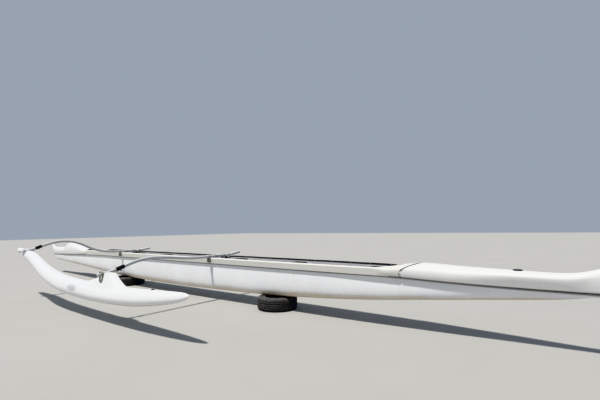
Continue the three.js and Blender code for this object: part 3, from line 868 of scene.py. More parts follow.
class Skin:
    """One piece in the making: closed bodies gathered as arrays, then made one mesh."""

    def __init__(self, name: str) -> None:
        """Starts an empty piece.

        Args:
            name: the piece's name.
        """
        self.name = name
        self.points: list[Array] = []
        self.faces: list[tuple[Array, Array, int]] = []
        self.count = 0

    def _body(self, points: Array, parts: list[tuple[Array, Array, int]]) -> None:
        """Adds one closed body, with its faces turned outwards.

        The sum of the triple products of its triangles is six times its volume; where that
        is negative, the corners of every face are taken in the other order.

        Args:
            points: the body's points.
            parts: corner indices, their UV places and the number of the finish.
        """
        volume = 0.0
        for faces, _, _ in parts:
            corner = points[faces]
            for k in range(1, faces.shape[1] - 1):
                turned = np.cross(corner[:, k], corner[:, k + 1])
                volume += float(np.einsum("ij,ij->", corner[:, 0], turned))
        for faces, uv, finish in parts:
            if volume < 0:
                faces, uv = faces[:, ::-1], uv[:, ::-1]
            self.faces.append((faces + self.count, uv, finish))
        self.points.append(points)
        self.count += len(points)

    @staticmethod
    def _quads(n: int, m: int, wrap: tuple[bool, bool], length: float = 1.0) -> tuple[Array, Array]:
        """Faces and UV places of a grid of n by m points.

        Args:
            n: rows of points.
            m: points in a row.
            wrap: whether the rows and the points in a row close on themselves.
            length: what the first UV coordinate reaches.

        Returns:
            Corner indices and their UV places.
        """
        i, j = np.meshgrid(np.arange(n - (not wrap[0])), np.arange(m - (not wrap[1])), indexing="ij")
        steps = [(0, 0), (0, 1), (1, 1), (1, 0)]
        faces = np.stack([(i + a) % n * m + (j + b) % m for a, b in steps], axis=-1)
        uv = np.stack([np.stack([(i + a) / n * length, (j + b) / m], axis=-1) for a, b in steps], axis=-2)
        return faces.reshape(-1, 4), uv.reshape(-1, 4, 2)

    def tube(self, rings: Array, finish: int = 0, length: float = 1.0) -> "Skin":
        """A bar through closed rings, with a fan over each end.

        Args:
            rings: points, one row for each ring.
            finish: number of the finish.
            length: what the first UV coordinate reaches.

        Returns:
            The piece itself, so that calls can follow each other.
        """
        n, m = rings.shape[:2]
        points = np.concatenate([rings.reshape(-1, 3), rings[[0, -1]].mean(axis=1)])
        j = np.arange(m)
        start = np.stack([np.full(m, n * m), (j + 1) % m, j], axis=1)
        end = np.stack([np.full(m, n * m + 1), (n - 1) * m + j, (n - 1) * m + (j + 1) % m], axis=1)
        flat = np.zeros((m, 3, 2))
        sides, uv = self._quads(n, m, (False, True), length)
        self._body(points, [(sides, uv, finish), (start, flat, finish), (end, flat + (length, 0), finish)])
        return self

    def ring(self, rings: Array, finish: int = 0, length: float = 1.0) -> "Skin":
        """A body that closes on itself both ways, such as a tyre or a loop.

        Args:
            rings: points, one row for each ring.
            finish: number of the finish.
            length: what the first UV coordinate reaches.

        Returns:
            The piece itself, so that calls can follow each other.
        """
        faces, uv = self._quads(*rings.shape[:2], (True, True), length)
        self._body(rings.reshape(-1, 3), [(faces, uv, finish)])
        return self

    def shell(self, outer: Array, inner: Array, finish: tuple[int, int, int] = (0, 0, 0)) -> "Skin":
        """A wall between two sheets of n by m points, with its rim closed.

        Args:
            outer: points of the outer sheet.
            inner: points of the inner sheet, in the same order.
            finish: numbers of the finish outside, inside and on the rim.

        Returns:
            The piece itself, so that calls can follow each other.
        """
        n, m = outer.shape[:2]
        points = np.concatenate([outer.reshape(-1, 3), inner.reshape(-1, 3)])
        faces, uv = self._quads(n, m, (False, False))
        index = np.arange(n * m).reshape(n, m)
        edge = np.concatenate([index[0, :-1], index[:-1, -1], index[-1, :0:-1], index[:0:-1, 0]])
        after = np.roll(edge, -1)
        rim = np.stack([after, edge, edge + n * m, after + n * m], axis=1)
        blank = np.zeros((len(rim), 4, 2))
        inside = (faces + n * m)[:, ::-1]
        parts = [(faces, uv, finish[0]), (inside, uv[:, ::-1], finish[1]), (rim, blank, finish[2])]
        self._body(points, parts)
        return self

    def make(self, finishes: Sequence[Finish], slot: str, replaces: Sequence[str] = (), sharp: float = 38.0,
             measures: dict[str, Callable[[Array], Array]] | None = None) -> bpy.types.Object:
        """Makes the object, gives it its finishes and fixes it to the canoe.

        Args:
            finishes: one for each number used in the bodies.
            slot: the record's material slot; not used.
            replaces: CAD nodes that the piece stands for.
            sharp: angle in degrees past which an edge isn't shaded smooth.
            measures: the numbers that the finishes read, each worked out from the hull-frame points.

        Returns:
            The finished object.
        """
        points = np.concatenate(self.points)
        mesh = bpy.data.meshes.new(self.name)
        faces = [row for part, _, _ in self.faces for row in part.tolist()]
        mesh.from_pydata((points + ORIGIN).tolist(), [], faces)
        numbers = np.concatenate([np.full(len(part), k) for part, _, k in self.faces])
        mesh.polygons.foreach_set("material_index", numbers.astype(np.int32))
        layer = mesh.uv_layers.new(name="UVMap")
        layer.data.foreach_set("uv", np.concatenate([uv.reshape(-1) for _, uv, _ in self.faces]))
        mesh.shade_smooth()
        mesh.set_sharp_from_angle(angle=math.radians(sharp))
        for name, measure in (measures or {}).items():
            mesh.attributes.new(name, "FLOAT", "POINT").data.foreach_set("value", measure(points))
        for finish in finishes:
            mesh.materials.append(finish.material())
        piece = bpy.data.objects.new(self.name, mesh)
        bpy.context.scene.collection.objects.link(piece)
        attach(piece, "root")
        if replaces:
            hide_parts(*replaces)
        LOG.info("%s: %d faces", self.name, len(faces))
        return piece


def from_joint(points: Array) -> Array:
    """How far points lie above or below the joint between hull and decks."""
    return np.abs(points[:, 2] - LINES.joint(points[:, 0]))


def circle(count: int) -> tuple[Array, Array]:
    """Cosines and sines of evenly spaced angles round a circle."""
    a = np.arange(count) * TURN / count
    return np.cos(a), np.sin(a)


def bar(path: Array, wide: Array | float, thick: Array | float, power: float = 4.0, sides: int = 24,
        side_axis: Colour = (1, 0, 0)) -> Array:
    """Rings of a bar along a path, with a superellipse for its section.

    The width runs along the part of the side axis that is square to the path, and the
    thickness along the third direction; cosine and sine are raised to 2 over the power.

    Args:
        path: points of the centreline.
        wide: half width, one number or one for each point.
        thick: half thickness, in the same way.
        power: exponent of the section; 2 is round and more is squarer.
        sides: points round the section.
        side_axis: the direction of the width.

    Returns:
        Rings of points.
    """
    ahead = np.gradient(path, axis=0)
    ahead /= np.linalg.norm(ahead, axis=1, keepdims=True)
    across = np.array(side_axis, float) - ahead * (ahead @ np.array(side_axis, float))[:, None]
    across /= np.linalg.norm(across, axis=1, keepdims=True)
    above = np.cross(across, ahead)
    c, s = circle(sides)
    c, s = signed_power(c, 2 / power), signed_power(s, 2 / power)
    wide = np.broadcast_to(wide, len(path))[:, None, None]
    thick = np.broadcast_to(thick, len(path))[:, None, None]
    sideways = across[:, None] * c[None, :, None] * wide
    return path[:, None] + sideways + above[:, None] * s[None, :, None] * thick


def ends_rounded(length: Array, radius: float, floor: float = 0.15) -> Array:
    """Share of a bar's size near its ends, whose corners are quarter rounds.

    Args:
        length: distance along the bar.
        radius: how far from the end the rounding starts.
        floor: the share that is left at the very end.

    Returns:
        The share of the size at each distance.
    """
    from_end = np.minimum(length - length[0], length[-1] - length)
    t = np.clip(1 - from_end / radius, 0, 1)
    return floor + (1 - floor) * np.sqrt(1 - t**2)


def turned(profile: Sequence[tuple[float, float]], place: Sequence[float], segments: int = 32,
           axis: str = "z") -> Array:
    """Rings of a turned body: each row of the profile is a radius and a height on its axis.

    Args:
        profile: rows of radius and height.
        place: where height 0 of the axis lies.
        segments: points round the axis.
        axis: direction of the axis, x, y or z.

    Returns:
        Rings of points, one for each row.
    """
    rows = np.array(profile, float)
    c, s = circle(segments)
    r, h = rows[:, :1], rows[:, 1:]
    flat = np.stack([r * c, r * s, h + 0 * c], axis=-1)
    if axis == "x":
        flat = flat[..., [2, 0, 1]]
    elif axis == "y":
        flat = flat[..., [0, 2, 1]]
    return flat + np.array(place, float)


@dataclass
class HullSkin:
    """The hull below the joint: a laid-up wall, white outside and painted resin inside."""

    wall: float = 0.010
    station_step: float = 0.035
    turns: int = 64

    def stations(self) -> Array:
        """Stations along the hull, closer together at the half-round tips.

        Returns:
            Stations from the stern to the bow.
        """
        ends = LINES.nose_radius * (1 - np.cos(np.linspace(0, math.pi / 2, 7)))
        middle = np.arange(LINES.stern_end + 0.03, LINES.bow_end - 0.03, self.station_step)
        return np.concatenate([LINES.stern_end + ends, middle, (LINES.bow_end - ends)[::-1]])

    def build(self) -> None:
        """Builds the wall between the outer and the inner sheet."""
        x = self.stations()
        turn = np.linspace(0, math.pi, self.turns + 1)
        outer = LINES.hull_sheet(x, turn)
        inner = LINES.hull_sheet(x, turn, self.wall)
        inner[..., 2] = np.minimum(inner[..., 2], LINES.joint(x)[:, None])
        skin = Skin("hull_skin").shell(outer, inner, (0, 1, 0))
        measures = {"rise": self.rise, "seam": from_joint}
        skin.make([HULL_WHITE, INSIDE], "hull_white", ["hull_shell"], measures=measures)

    @staticmethod
    def rise(points: Array) -> Array:
        """How high a point lies between the keel, 0, and the joint, 1."""
        x = points[:, 0]
        return (points[:, 2] - LINES.keel(x)) / (LINES.joint(x) - LINES.keel(x))


@dataclass
class Gunwales:
    """The two gunwales with the black edging on their inner edge and its rivets."""

    corner: float = 0.012
    foot_round: float = 0.010
    wall: float = 0.010
    edging_thick: float = 0.006
    edging_deep: float = 0.030
    edging_stand: float = 0.024
    edging_black: float = 0.027
    flange_deep: float = 0.036
    rivet_every: float = 0.300
    blend_run: float = 0.200
    blend_aft: float = -3.100
    section_points: int = 46

    def ending(self, x: Array | float) -> Array:
        """How far the section has turned into the deck's: 0 along the cockpit, 1 at its two ends."""
        fore = x - COCKPIT_FORE + self.blend_run
        return smooth((self.blend_aft - x) / self.blend_run) + smooth(fore / self.blend_run)

    @staticmethod
    def lean(z: Array | float) -> Array:
        """How far the gunwale's face stands in at a height, as it leans in towards the joint."""
        corner = Gunwales.corner
        return TUCK * np.clip((-corner - z) / (GUNWALE_HEIGHT - corner), 0, 1)

    def box_section(self, x: float) -> Array:
        """The cockpit's section as across and up: leaning face, rounded corner, flat lip.

        Straight lines between quarter circles, as points at even steps.

        Args:
            x: station.

        Returns:
            Points from the foot to the lip's inner edge.
        """
        b = float(LINES.half_width(x))
        foot = float(LINES.joint(x)) + GAP
        r = self.foot_round
        rows = [(b - TUCK - d, foot + h) for d, h in arc((r, r), r, 270, 180)]
        rows += [(b - d, h) for d, h in arc((self.corner, -self.corner), self.corner, 180, 90, 8)]
        rows += [(b - d, h) for d, h in arc((GUNWALE_LIP - 0.004, -0.004), 0.004, 90, 0, 4)]
        return resample(rows + [(b - GUNWALE_LIP, -0.011)], self.section_points)

    def arch_section(self, x: float) -> Array:
        """The section of the apron or the bow deck up to the same lip.

        Args:
            x: station.

        Returns:
            Points from the foot to the lip's inner edge.
        """
        b = float(LINES.half_width(x))
        top = LINES.stern_top(COCKPIT_AFT) if x < 0 else LINES.bow_top(COCKPIT_FORE)
        y, z = LINES.arch(np.array(x), top, np.linspace(0, 0.5, 240))
        keep = y > b - GUNWALE_LIP + 0.001
        rows = list(zip(y[keep], z[keep]))
        end = rows[-1][1]
        rows += [(b - GUNWALE_LIP, end - 0.002), (b - GUNWALE_LIP, end - 0.011)]
        return resample(rows, self.section_points)

    def section(self, x: float) -> tuple[Array, Array]:
        """The wall's outer and inner line at a station, flange included.

        The outer line goes from the cockpit's section to the deck's by a share; the inner line
        lies the wall's thickness along its normal.

        Args:
            x: station.

        Returns:
            Across and up positions of both lines.
        """
        share = float(self.ending(x))
        line = (1 - share) * self.box_section(x) + share * self.arch_section(x)
        ahead = np.gradient(line, axis=0)
        ahead /= np.linalg.norm(ahead, axis=1, keepdims=True)
        inner = line + np.stack([-ahead[:, 1], ahead[:, 0]], axis=1) * self.wall
        foot = float(LINES.joint(x)) + GAP
        inner[:, 1] = np.maximum(inner[:, 1], foot + self.wall)
        edge = float(LINES.flange_edge(x))
        return np.concatenate([[(edge, foot)], line]), np.concatenate([[(edge, foot + self.wall)], inner])

    def sweep(self, x: Array, side: Side) -> tuple[Array, Array]:
        """The outer and the inner sheet of one gunwale's wall.

        Args:
            x: stations.
            side: which side of the hull.

        Returns:
            Points of both sheets.
        """
        sheets = []
        for lines in zip(*(self.section(float(station)) for station in x)):
            flat = np.array(lines)
            along = np.broadcast_to(x[:, None], flat.shape[:2])
            sheets.append(np.stack([along, side.value * flat[..., 0], flat[..., 1]], axis=-1))
        return sheets[0], sheets[1]

    def lip_height(self, x: Array) -> Array:
        """Height of the lip's inner edge, which rises with the section at the aft end."""
        aft = float(self.arch_section(COCKPIT_AFT)[:, 1].max())
        return aft * self.ending(x) * (x < 0)

    def build(self) -> None:
        """Builds both sides."""
        close = np.arange(COCKPIT_AFT + GAP, self.blend_aft, 0.015)
        wide = np.arange(self.blend_aft + 0.01, COCKPIT_FORE - 0.01, 0.04)
        x = np.concatenate([close, wide, [COCKPIT_FORE - GAP]])
        finishes = [GUNWALE_CREAM, INSIDE]
        for side in Side:
            name = side.name.lower()
            skin = Skin(f"gunwale_skin_{name}").shell(*self.sweep(x, side), (0, 1, 0))
            skin.make(finishes, "gunwale_cream", [f"gunwale_{name}"], 50, {"seam": from_joint})
            self.build_edging(side)

    def edging_middle(self, x: Array, side: Side) -> Array:
        """Height of the edging's middle: level with the lip, and to starboard above it between the booms.

        Two sines of the station make it wavy.

        Args:
            x: stations.
            side: which side of the hull.

        Returns:
            Heights.
        """
        wave = 0.0006 * np.sin(x * 7.3) + 0.0005 * np.sin(x * 17.1 + 1)
        level = self.lip_height(x) - self.edging_deep / 2 - 0.0005
        if side is Side.PORT:
            return level + wave
        clear = np.minimum(np.abs(x), np.abs(x - BOOM_SPACING))
        ends = smooth((x - COCKPIT_AFT) / 0.20) * smooth((EDGING_FORE - x) / 0.3)
        return level + self.edging_stand * smooth((clear - 0.06) / 0.16) * ends + wave

    def build_edging(self, side: Side) -> None:
        """The black extrusion along the lip, wavy by a millimetre, with flat rivets.

        A superellipse of power 5 is carried along the lip, black above and pale below.

        Args:
            side: which side of the hull.
        """
        x = np.arange(EDGING_AFT[side.name], EDGING_FORE, 0.02)
        inset = GUNWALE_LIP + GAP + self.edging_thick / 2
        path = np.stack([x, side.value * (LINES.half_width(x) - inset), self.edging_middle(x, side)], axis=1)
        size = ends_rounded(x, 0.01)
        name = side.name.lower()
        half, below = self.edging_black / 2, self.edging_deep - self.edging_black
        upper, lower = path + (0, 0, self.edging_deep / 2 - half), path - (0, 0, half)
        skin = Skin(f"edging_skin_{name}")
        skin.tube(bar(upper, size * self.edging_thick / 2, half, 5, 20, (0, 1, 0)))
        skin.tube(bar(lower, size * 0.8 * self.edging_thick / 2, below / 2, 5, 20, (0, 1, 0)), 1)
        skin.make([EDGING_BLACK, FLANGE_GREY], "edging_black", [f"edging_{name}"])
        self.build_flange(x, side)
        rivets = Skin(f"edging_rivets_{name}")
        for station in np.arange(x[0] + 0.08, EDGING_FORE - 0.05, self.rivet_every):
            y = side.value * (float(LINES.half_width(station)) - inset - self.edging_thick / 2)
            profile = [(0.0055, 0.001 * side.value), (0.0055, -0.0006 * side.value),
                       (0.004, -0.0016 * side.value), (0.0015, -0.0021 * side.value)]
            height = float(self.edging_middle(np.array([station]), side)[0]) + self.edging_deep / 2 - half
            rivets.tube(turned(profile, (station, y, height), 12, "y"))
        rivets.make([STEEL], "fitting_black")

    def build_flange(self, x: Array, side: Side) -> None:
        """The pale board on the lip's inner edge that carries the edging.

        A superellipse of power 6 is carried along below the edging.

        Args:
            x: stations.
            side: which side of the hull.
        """
        across = LINES.half_width(x) - GUNWALE_LIP - self.edging_thick / 2
        top = np.minimum(self.edging_middle(x, side) - self.edging_deep / 2, self.lip_height(x) - 0.002)
        path = np.stack([x, side.value * across, top - self.flange_deep / 2], axis=1)
        size = ends_rounded(x, 0.02)
        skin = Skin(f"flange_skin_{side.name.lower()}")
        skin.tube(bar(path, size * 0.4 * self.edging_thick, size * self.flange_deep / 2, 6, 16, (0, 1, 0)))
        skin.make([FLANGE_GREY], "gunwale_cream")


@dataclass
class Decks:
    """The crowned bow and stern decks, and the apron that rises before the stern deck."""

    wall: float = 0.008
    groove_round: float = 0.009
    turns: int = 72
    step: float = 0.025

    @staticmethod
    def seam_slant(x: Array, across: Array, rise: Array) -> Array:
        """How far the stern deck's forward part runs aft: by the power 3.2 of the share of its height."""
        return -SEAM_SWEEP * smooth((x + 4.4) / 0.9) * rise**SEAM_POWER

    @staticmethod
    def apron_slant(x: Array, across: Array, rise: Array) -> Array:
        """The same for the apron; its forward edge runs aft by a parabola between the lips.

        Args:
            x: stations.
            across: across positions.
            rise: shares of the section's height.

        Returns:
            The shift along the hull.
        """
        lip = LINES.half_width(x) - GUNWALE_LIP
        edge = -COAMING_SWEEP * np.clip(1 - (across / lip) ** 2, 0, 1)
        share = smooth((COCKPIT_AFT - x) / (COCKPIT_AFT - APRON_AFT))
        return edge * (1 - share) - SEAM_SWEEP * share * rise**SEAM_POWER

    @staticmethod
    def from_seams(points: Array) -> Array:
        """How far points lie from the joint or from the slanting groove, whichever is nearer.

        The groove runs aft of the stern deck's fore end by the sweep times the share of the
        height to the power 3.2; its distance along the hull is divided by the length of the
        slope's unit step.

        Args:
            points: points in the hull's frame.

        Returns:
            Distances in metres.
        """
        foot = float(LINES.joint(DECK_FORE))
        high = float(LINES.stern_top(DECK_FORE)) - foot
        rise = np.clip((points[:, 2] - foot) / high, 0, 1)
        slope = np.minimum(SEAM_POWER * SEAM_SWEEP * rise ** (SEAM_POWER - 1) / high, 1.5)
        groove = (DECK_FORE + APRON_AFT) / 2 - SEAM_SWEEP * rise**SEAM_POWER
        return np.minimum(from_joint(points), np.abs(points[:, 0] - groove) / np.hypot(1, slope))

    @staticmethod
    def straight(x: Array, across: Array, rise: Array) -> Array:
        """No slant."""
        return 0 * x

    def sheet(self, x: Array, top: Rows, slant: Callable[..., Array], inset: Array, inner: bool) -> Array:
        """One sheet of a deck, from the port flange over the crown to the starboard flange.

        Args:
            x: stations.
            top: height of the crown.
            slant: how far the crown moves along the hull.
            inset: how far the sheet is drawn in, one number for each station.
            inner: whether it is the wall's inner sheet.

        Returns:
            Points, one row for each station.
        """
        x, inset = x[:, None], inset[:, None]
        share = np.linspace(0, 1, self.turns + 1)[None]
        y, z = LINES.arch(x, top(x), share, inset + self.wall if inner else inset)
        foot = LINES.joint(x) + GAP + (self.wall if inner else 0)
        lip = np.minimum(LINES.flange_edge(x), 0.85 * LINES.hull_wide(x)) * LINES.nose(x)
        hem_y = lip + (y[:, :1] - lip) * np.linspace(0, 1, 4)[None, :-1]
        hem_z = np.broadcast_to(foot, hem_y.shape)
        y = np.concatenate([hem_y, y, -hem_y[:, ::-1]], axis=1)
        z = np.concatenate([hem_z, z, hem_z], axis=1)
        along = LINES.leaned(x, z)
        rise = np.clip((z - foot) / (top(x) - foot), 0, 1)
        return np.stack([along + slant(x, y, rise), y, z], axis=-1)

    def deck(self, name: str, start: float, end: float, top: Rows, slant: Callable[..., Array],
             rounds: tuple[bool, bool]) -> Skin:
        """A deck between two stations.

        Args:
            name: the piece's name.
            start: aft end.
            end: forward end.
            top: height of the crown.
            slant: how far the crown moves along the hull.
            rounds: whether the aft and the forward edge are rounded off, as at a seam.

        Returns:
            The piece in the making.
        """
        near = self.groove_round * (1 - np.cos(np.linspace(0, math.pi / 2, 6)))
        body = np.arange(start + 0.012, end - 0.011, self.step)
        x = np.concatenate([start + near, body, (end - near)[::-1]])
        inset = np.zeros_like(x)
        if rounds[0]:
            inset += round_over(x - start, self.groove_round)
        if rounds[1]:
            inset += round_over(end - x, self.groove_round)
        outer = self.sheet(x, top, slant, inset, False)
        inner = self.sheet(x, top, slant, 0 * inset, True)
        return Skin(name).shell(outer, inner, (0, 1, 0))

    def build(self) -> None:
        """Builds the decks, the apron and the round hatch."""
        bow = self.deck("bow_deck_skin", COCKPIT_FORE, LINES.bow_end, LINES.bow_top, self.straight,
                        (True, False))
        bow.make([DECK_WHITE, INSIDE], "deck_white", ["bow_deck"], measures={"seam": from_joint})
        # The painted shade follows the joint and the groove between the apron and the stern deck.
        seam = {"seam": self.from_seams}
        stern = self.deck("stern_deck_skin", LINES.stern_end, DECK_FORE, LINES.stern_top, self.seam_slant,
                          (False, True))
        stern.make([DECK_WHITE, INSIDE], "deck_white", ["stern_deck"], measures=seam)
        apron = self.deck("apron_skin", APRON_AFT, COCKPIT_AFT, LINES.stern_top, self.apron_slant,
                          (True, False))
        apron.make([APRON_WHITE, INSIDE], "deck_white", ["stern_coaming"], measures=seam)
        self.build_port(HATCH_STATION)

    @staticmethod
    def build_port(station: float) -> None:
        """A low round hatch: a bedded flange and a screwed lid with six finger notches.

        Two profiles are turned; each notch draws a quarter of a sixth of the lid's rim in by a
        twentieth.

        Args:
            station: where the hatch lies on the crown.
        """
        place = (station, 0, float(LINES.stern_top(station)))
        flange = [(0.0480, -0.0060), (0.0480, 0.0040), (0.0455, 0.0066), (0.0395, 0.0072)]
        skin = Skin("deck_port").tube(turned(flange, place, 72))
        lid = turned([(0.0375, 0.0060), (0.0375, 0.0100), (0.0350, 0.0113), (0.0290, 0.0113),
                      (0.0270, 0.0090), (0.0060, 0.0086)], place, 72)
        notch = 1 - 0.05 * (np.arange(72) % 12 < 3)
        lid[1:4, :, :2] = place[:2] + (lid[1:4, :, :2] - place[:2]) * notch[None, :, None]
        skin.tube(lid)
        skin.make([PLASTIC], "fitting_black", ["deck_fitting"])


@dataclass
class Inside:
    """What shows in the open cockpit: bulkhead hatches, seats with their pads, thwart, spreaders."""

    # Seat numbers and stations, from the bow
    seats: tuple[tuple[int, float], ...] = (
        (1, 3.95), (2, 2.72), (3, 1.64), (4, 0.56), (5, -0.55), (6, -1.80),
    )
    # Bulkhead names, stations and the heights of their tops
    bulkheads: tuple[tuple[str, float, float], ...] = (("stern", -3.560, -0.114), ("bow", 5.260, -0.128))
    seat_length: float = 0.240
    seat_deep: float = 0.045
    seat_wall: float = 0.010
    pad_thick: float = 0.052
    pad_length: float = 0.225
    pad_half: float = 0.110
    thwart_station: float = -3.020
    thwart_clear: float = 0.0208
    spreader_clear: float = 0.0234
    spreader_height: float = -0.0525

    def build(self) -> None:
        """Builds everything in the cockpit."""
        for number, station in self.seats:
            self.build_seat(number, station)
        self.build_thwart()
        for name, station in (("rear", 0.0), ("front", BOOM_SPACING)):
            self.build_spreader(name, station)
        for name, station, top in self.bulkheads:
            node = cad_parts[f"bulkhead_{name}"]
            for material_slot in node.material_slots:
                material_slot.material = BULKHEAD.material()
            self.build_hatch(name, station, top)

    def seat_half(self, station: float) -> float:
        """Half width of a seat between the gunwales."""
        return float(min(LINES.flange_edge(station - 0.12), LINES.flange_edge(station + 0.12))) - GAP

    def build_seat(self, number: int, station: float) -> None:
        """A moulded bench with turned-down edges, slightly dished, and its black pad.

        A profile of two quarter circles and a shallow dish is carried straight across, with a
        second one the wall's thickness inside it.

        Args:
            number: the seat's number from the bow.
            station: its middle.
        """
        h, r, foot = self.seat_length / 2, 0.012, -self.seat_deep
        dish = [(-0.06, -0.001), (0, -0.003), (0.06, -0.001)]
        corners = arc((-h + r, -r), r, 180, 90) + dish + arc((h - r, -r), r, 90, 0)
        outer = [(-h, foot), (-h, -r)] + corners + [(h, -r), (h, foot)]
        w, e = self.seat_wall, h - self.seat_wall
        half_inner = [(e, foot), (e - 0.002, -0.02), (e - 0.006, -w - 0.003)]
        inner = [(-x, z) for x, z in half_inner] + [(0, -w - 0.004)] + half_inner[::-1]
        half = self.seat_half(station)
        y = np.linspace(-half, half, 14)
        sheets = []
        for rows in (outer, inner):
            line = resample(rows, 48)
            points = np.zeros((len(y), 48, 3))
            points[..., 0] = station + line[:, 0]
            points[..., 1] = y[:, None]
            points[..., 2] = SEAT_TOP + line[:, 1]
            sheets.append(points)
        skin = Skin(f"seat_bench_{number}").shell(*sheets)
        skin.make([SEAT_GREY], "seat_grey", [f"seat_{number}"], sharp=45)
        self.build_pad(f"seat_pad_{number}", station, min(half - 0.030, self.pad_half))

    def build_pad(self, name: str, station: float, half: float) -> None:
        """A crowned foam pad whose sides draw in between its corners, with a grooved edge.

        Plan: a superellipse of power 6, its sides drawn in by 5 per cent at their middle.
        Height: a superellipse of power 3 above, flat below, with a shallow dish for the sitter.

        Args:
            name: the piece's name.
            station: its middle.
            half: half its width.
        """
        u = np.arange(72) * TURN / 72
        v = np.linspace(-math.pi / 2 + 0.04, math.pi / 2 - 0.04, 34)
        c, s = signed_power(np.cos(u), 1 / 3), signed_power(np.sin(u), 1 / 3)
        draw_x = 1 - 0.05 * (1 - s**2) ** 2
        draw_y = 1 - 0.05 * (1 - c**2) ** 2
        groove = 1 - 0.012 * np.exp(-((v - 0.1) / 0.12) ** 2)
        reach = np.cos(v) ** 0.5 * groove
        lift = np.where(v > 0, signed_power(np.sin(v), 0.8), 0.8 * signed_power(np.sin(v), 0.35))
        x = reach[:, None] * c * draw_x * self.pad_length / 2
        y = reach[:, None] * s * draw_y * half
        dish = 0.004 * np.exp(-((x / 0.06) ** 2) - (y / (0.5 * half)) ** 2) * (v[:, None] > 0)
        bottom = SEAT_TOP + 0.0008
        z = bottom + self.pad_thick * (0.8 + lift[:, None]) / 1.8 - dish
        skin = Skin(name).tube(np.stack([station + x, y, z], axis=-1))
        skin.make([FOAM_BLACK], "thwart_black", sharp=80)

    def build_thwart(self) -> None:
        """The aft thwart inside its black foam sleeve, crowned, with a taped seam at each end.

        A superellipse of power 3.2 is carried across the hull; the crown is a smooth step from
        each end, and the tape a bell with a flat top.
        """
        half = float(LINES.half_width(self.thwart_station - 0.08)) - self.thwart_clear
        y = np.linspace(-half, half, 60)
        size = ends_rounded(y, 0.018, 0.6)
        crown = 0.008 * smooth((half - 0.02 - np.abs(y)) / 0.05)
        tape = 0.0015 * np.exp(-(((np.abs(y) - half + 0.05) / 0.012) ** 4))
        path = np.stack([0 * y + self.thwart_station, y, -0.046 + crown], axis=1)
        rings = bar(path, size * 0.079 + tape, size * 0.014 + crown + tape, 3.2, 40)
        skin = Skin("thwart_sleeve").tube(rings)
        skin.make([FOAM_BLACK], "thwart_black", ["stern_thwart"], sharp=60)

    def build_spreader(self, name: str, station: float) -> None:
        """A wooden bar under the boom with eased edges.

        A superellipse of power 7 is carried across the hull.

        Args:
            name: the boom's name.
            station: the boom's station.
        """
        half = float(LINES.half_width(station)) - self.spreader_clear
        y = np.linspace(-half, half, 40)
        path = np.stack([0 * y + station, y, 0 * y + self.spreader_height], axis=1)
        size = ends_rounded(y, 0.003, 0.85)
        skin = Skin(f"spreader_bar_{name}").tube(bar(path, 0.022 * size, 0.0205 * size, 7, 28))
        skin.make([SPREADER_WOOD], "spreader_wood", [f"spreader_{name}"])

    @staticmethod
    def build_hatch(name: str, station: float, top: float) -> None:
        """A screw-in hatch over the bulkhead's hand hole, with ribs on its lid.

        Two profiles are turned about a line along the hull, and six bars run out from the
        middle.

        Args:
            name: the bulkhead's name.
            station: its station.
            top: height of its top.
        """
        height = (float(LINES.keel(station)) + top) / 2 + 0.02
        sign = 1 if name == "stern" else -1
        place = (station + sign * 0.0045, 0, height)
        flange = [(0.074, 0), (0.074, 0.004), (0.071, 0.006), (0.062, 0.006)]
        lid = [(0.060, 0.001), (0.060, 0.009), (0.056, 0.0115), (0.030, 0.0125), (0.006, 0.0125)]
        skin = Skin(f"hatch_{name}")
        for profile in (flange, lid):
            skin.tube(turned([(r, sign * h) for r, h in profile], place, 64, "x"))
        for angle in np.arange(6) * TURN / 6:
            reach = np.linspace(0.012, 0.050, 8)
            path = np.stack([0 * reach + place[0] + sign * 0.013, reach * math.cos(angle),
                             height + reach * math.sin(angle)], axis=1)
            skin.tube(bar(path, 0.0025, 0.0025, 3, 8))
        skin.make([PLASTIC], "fitting_black")


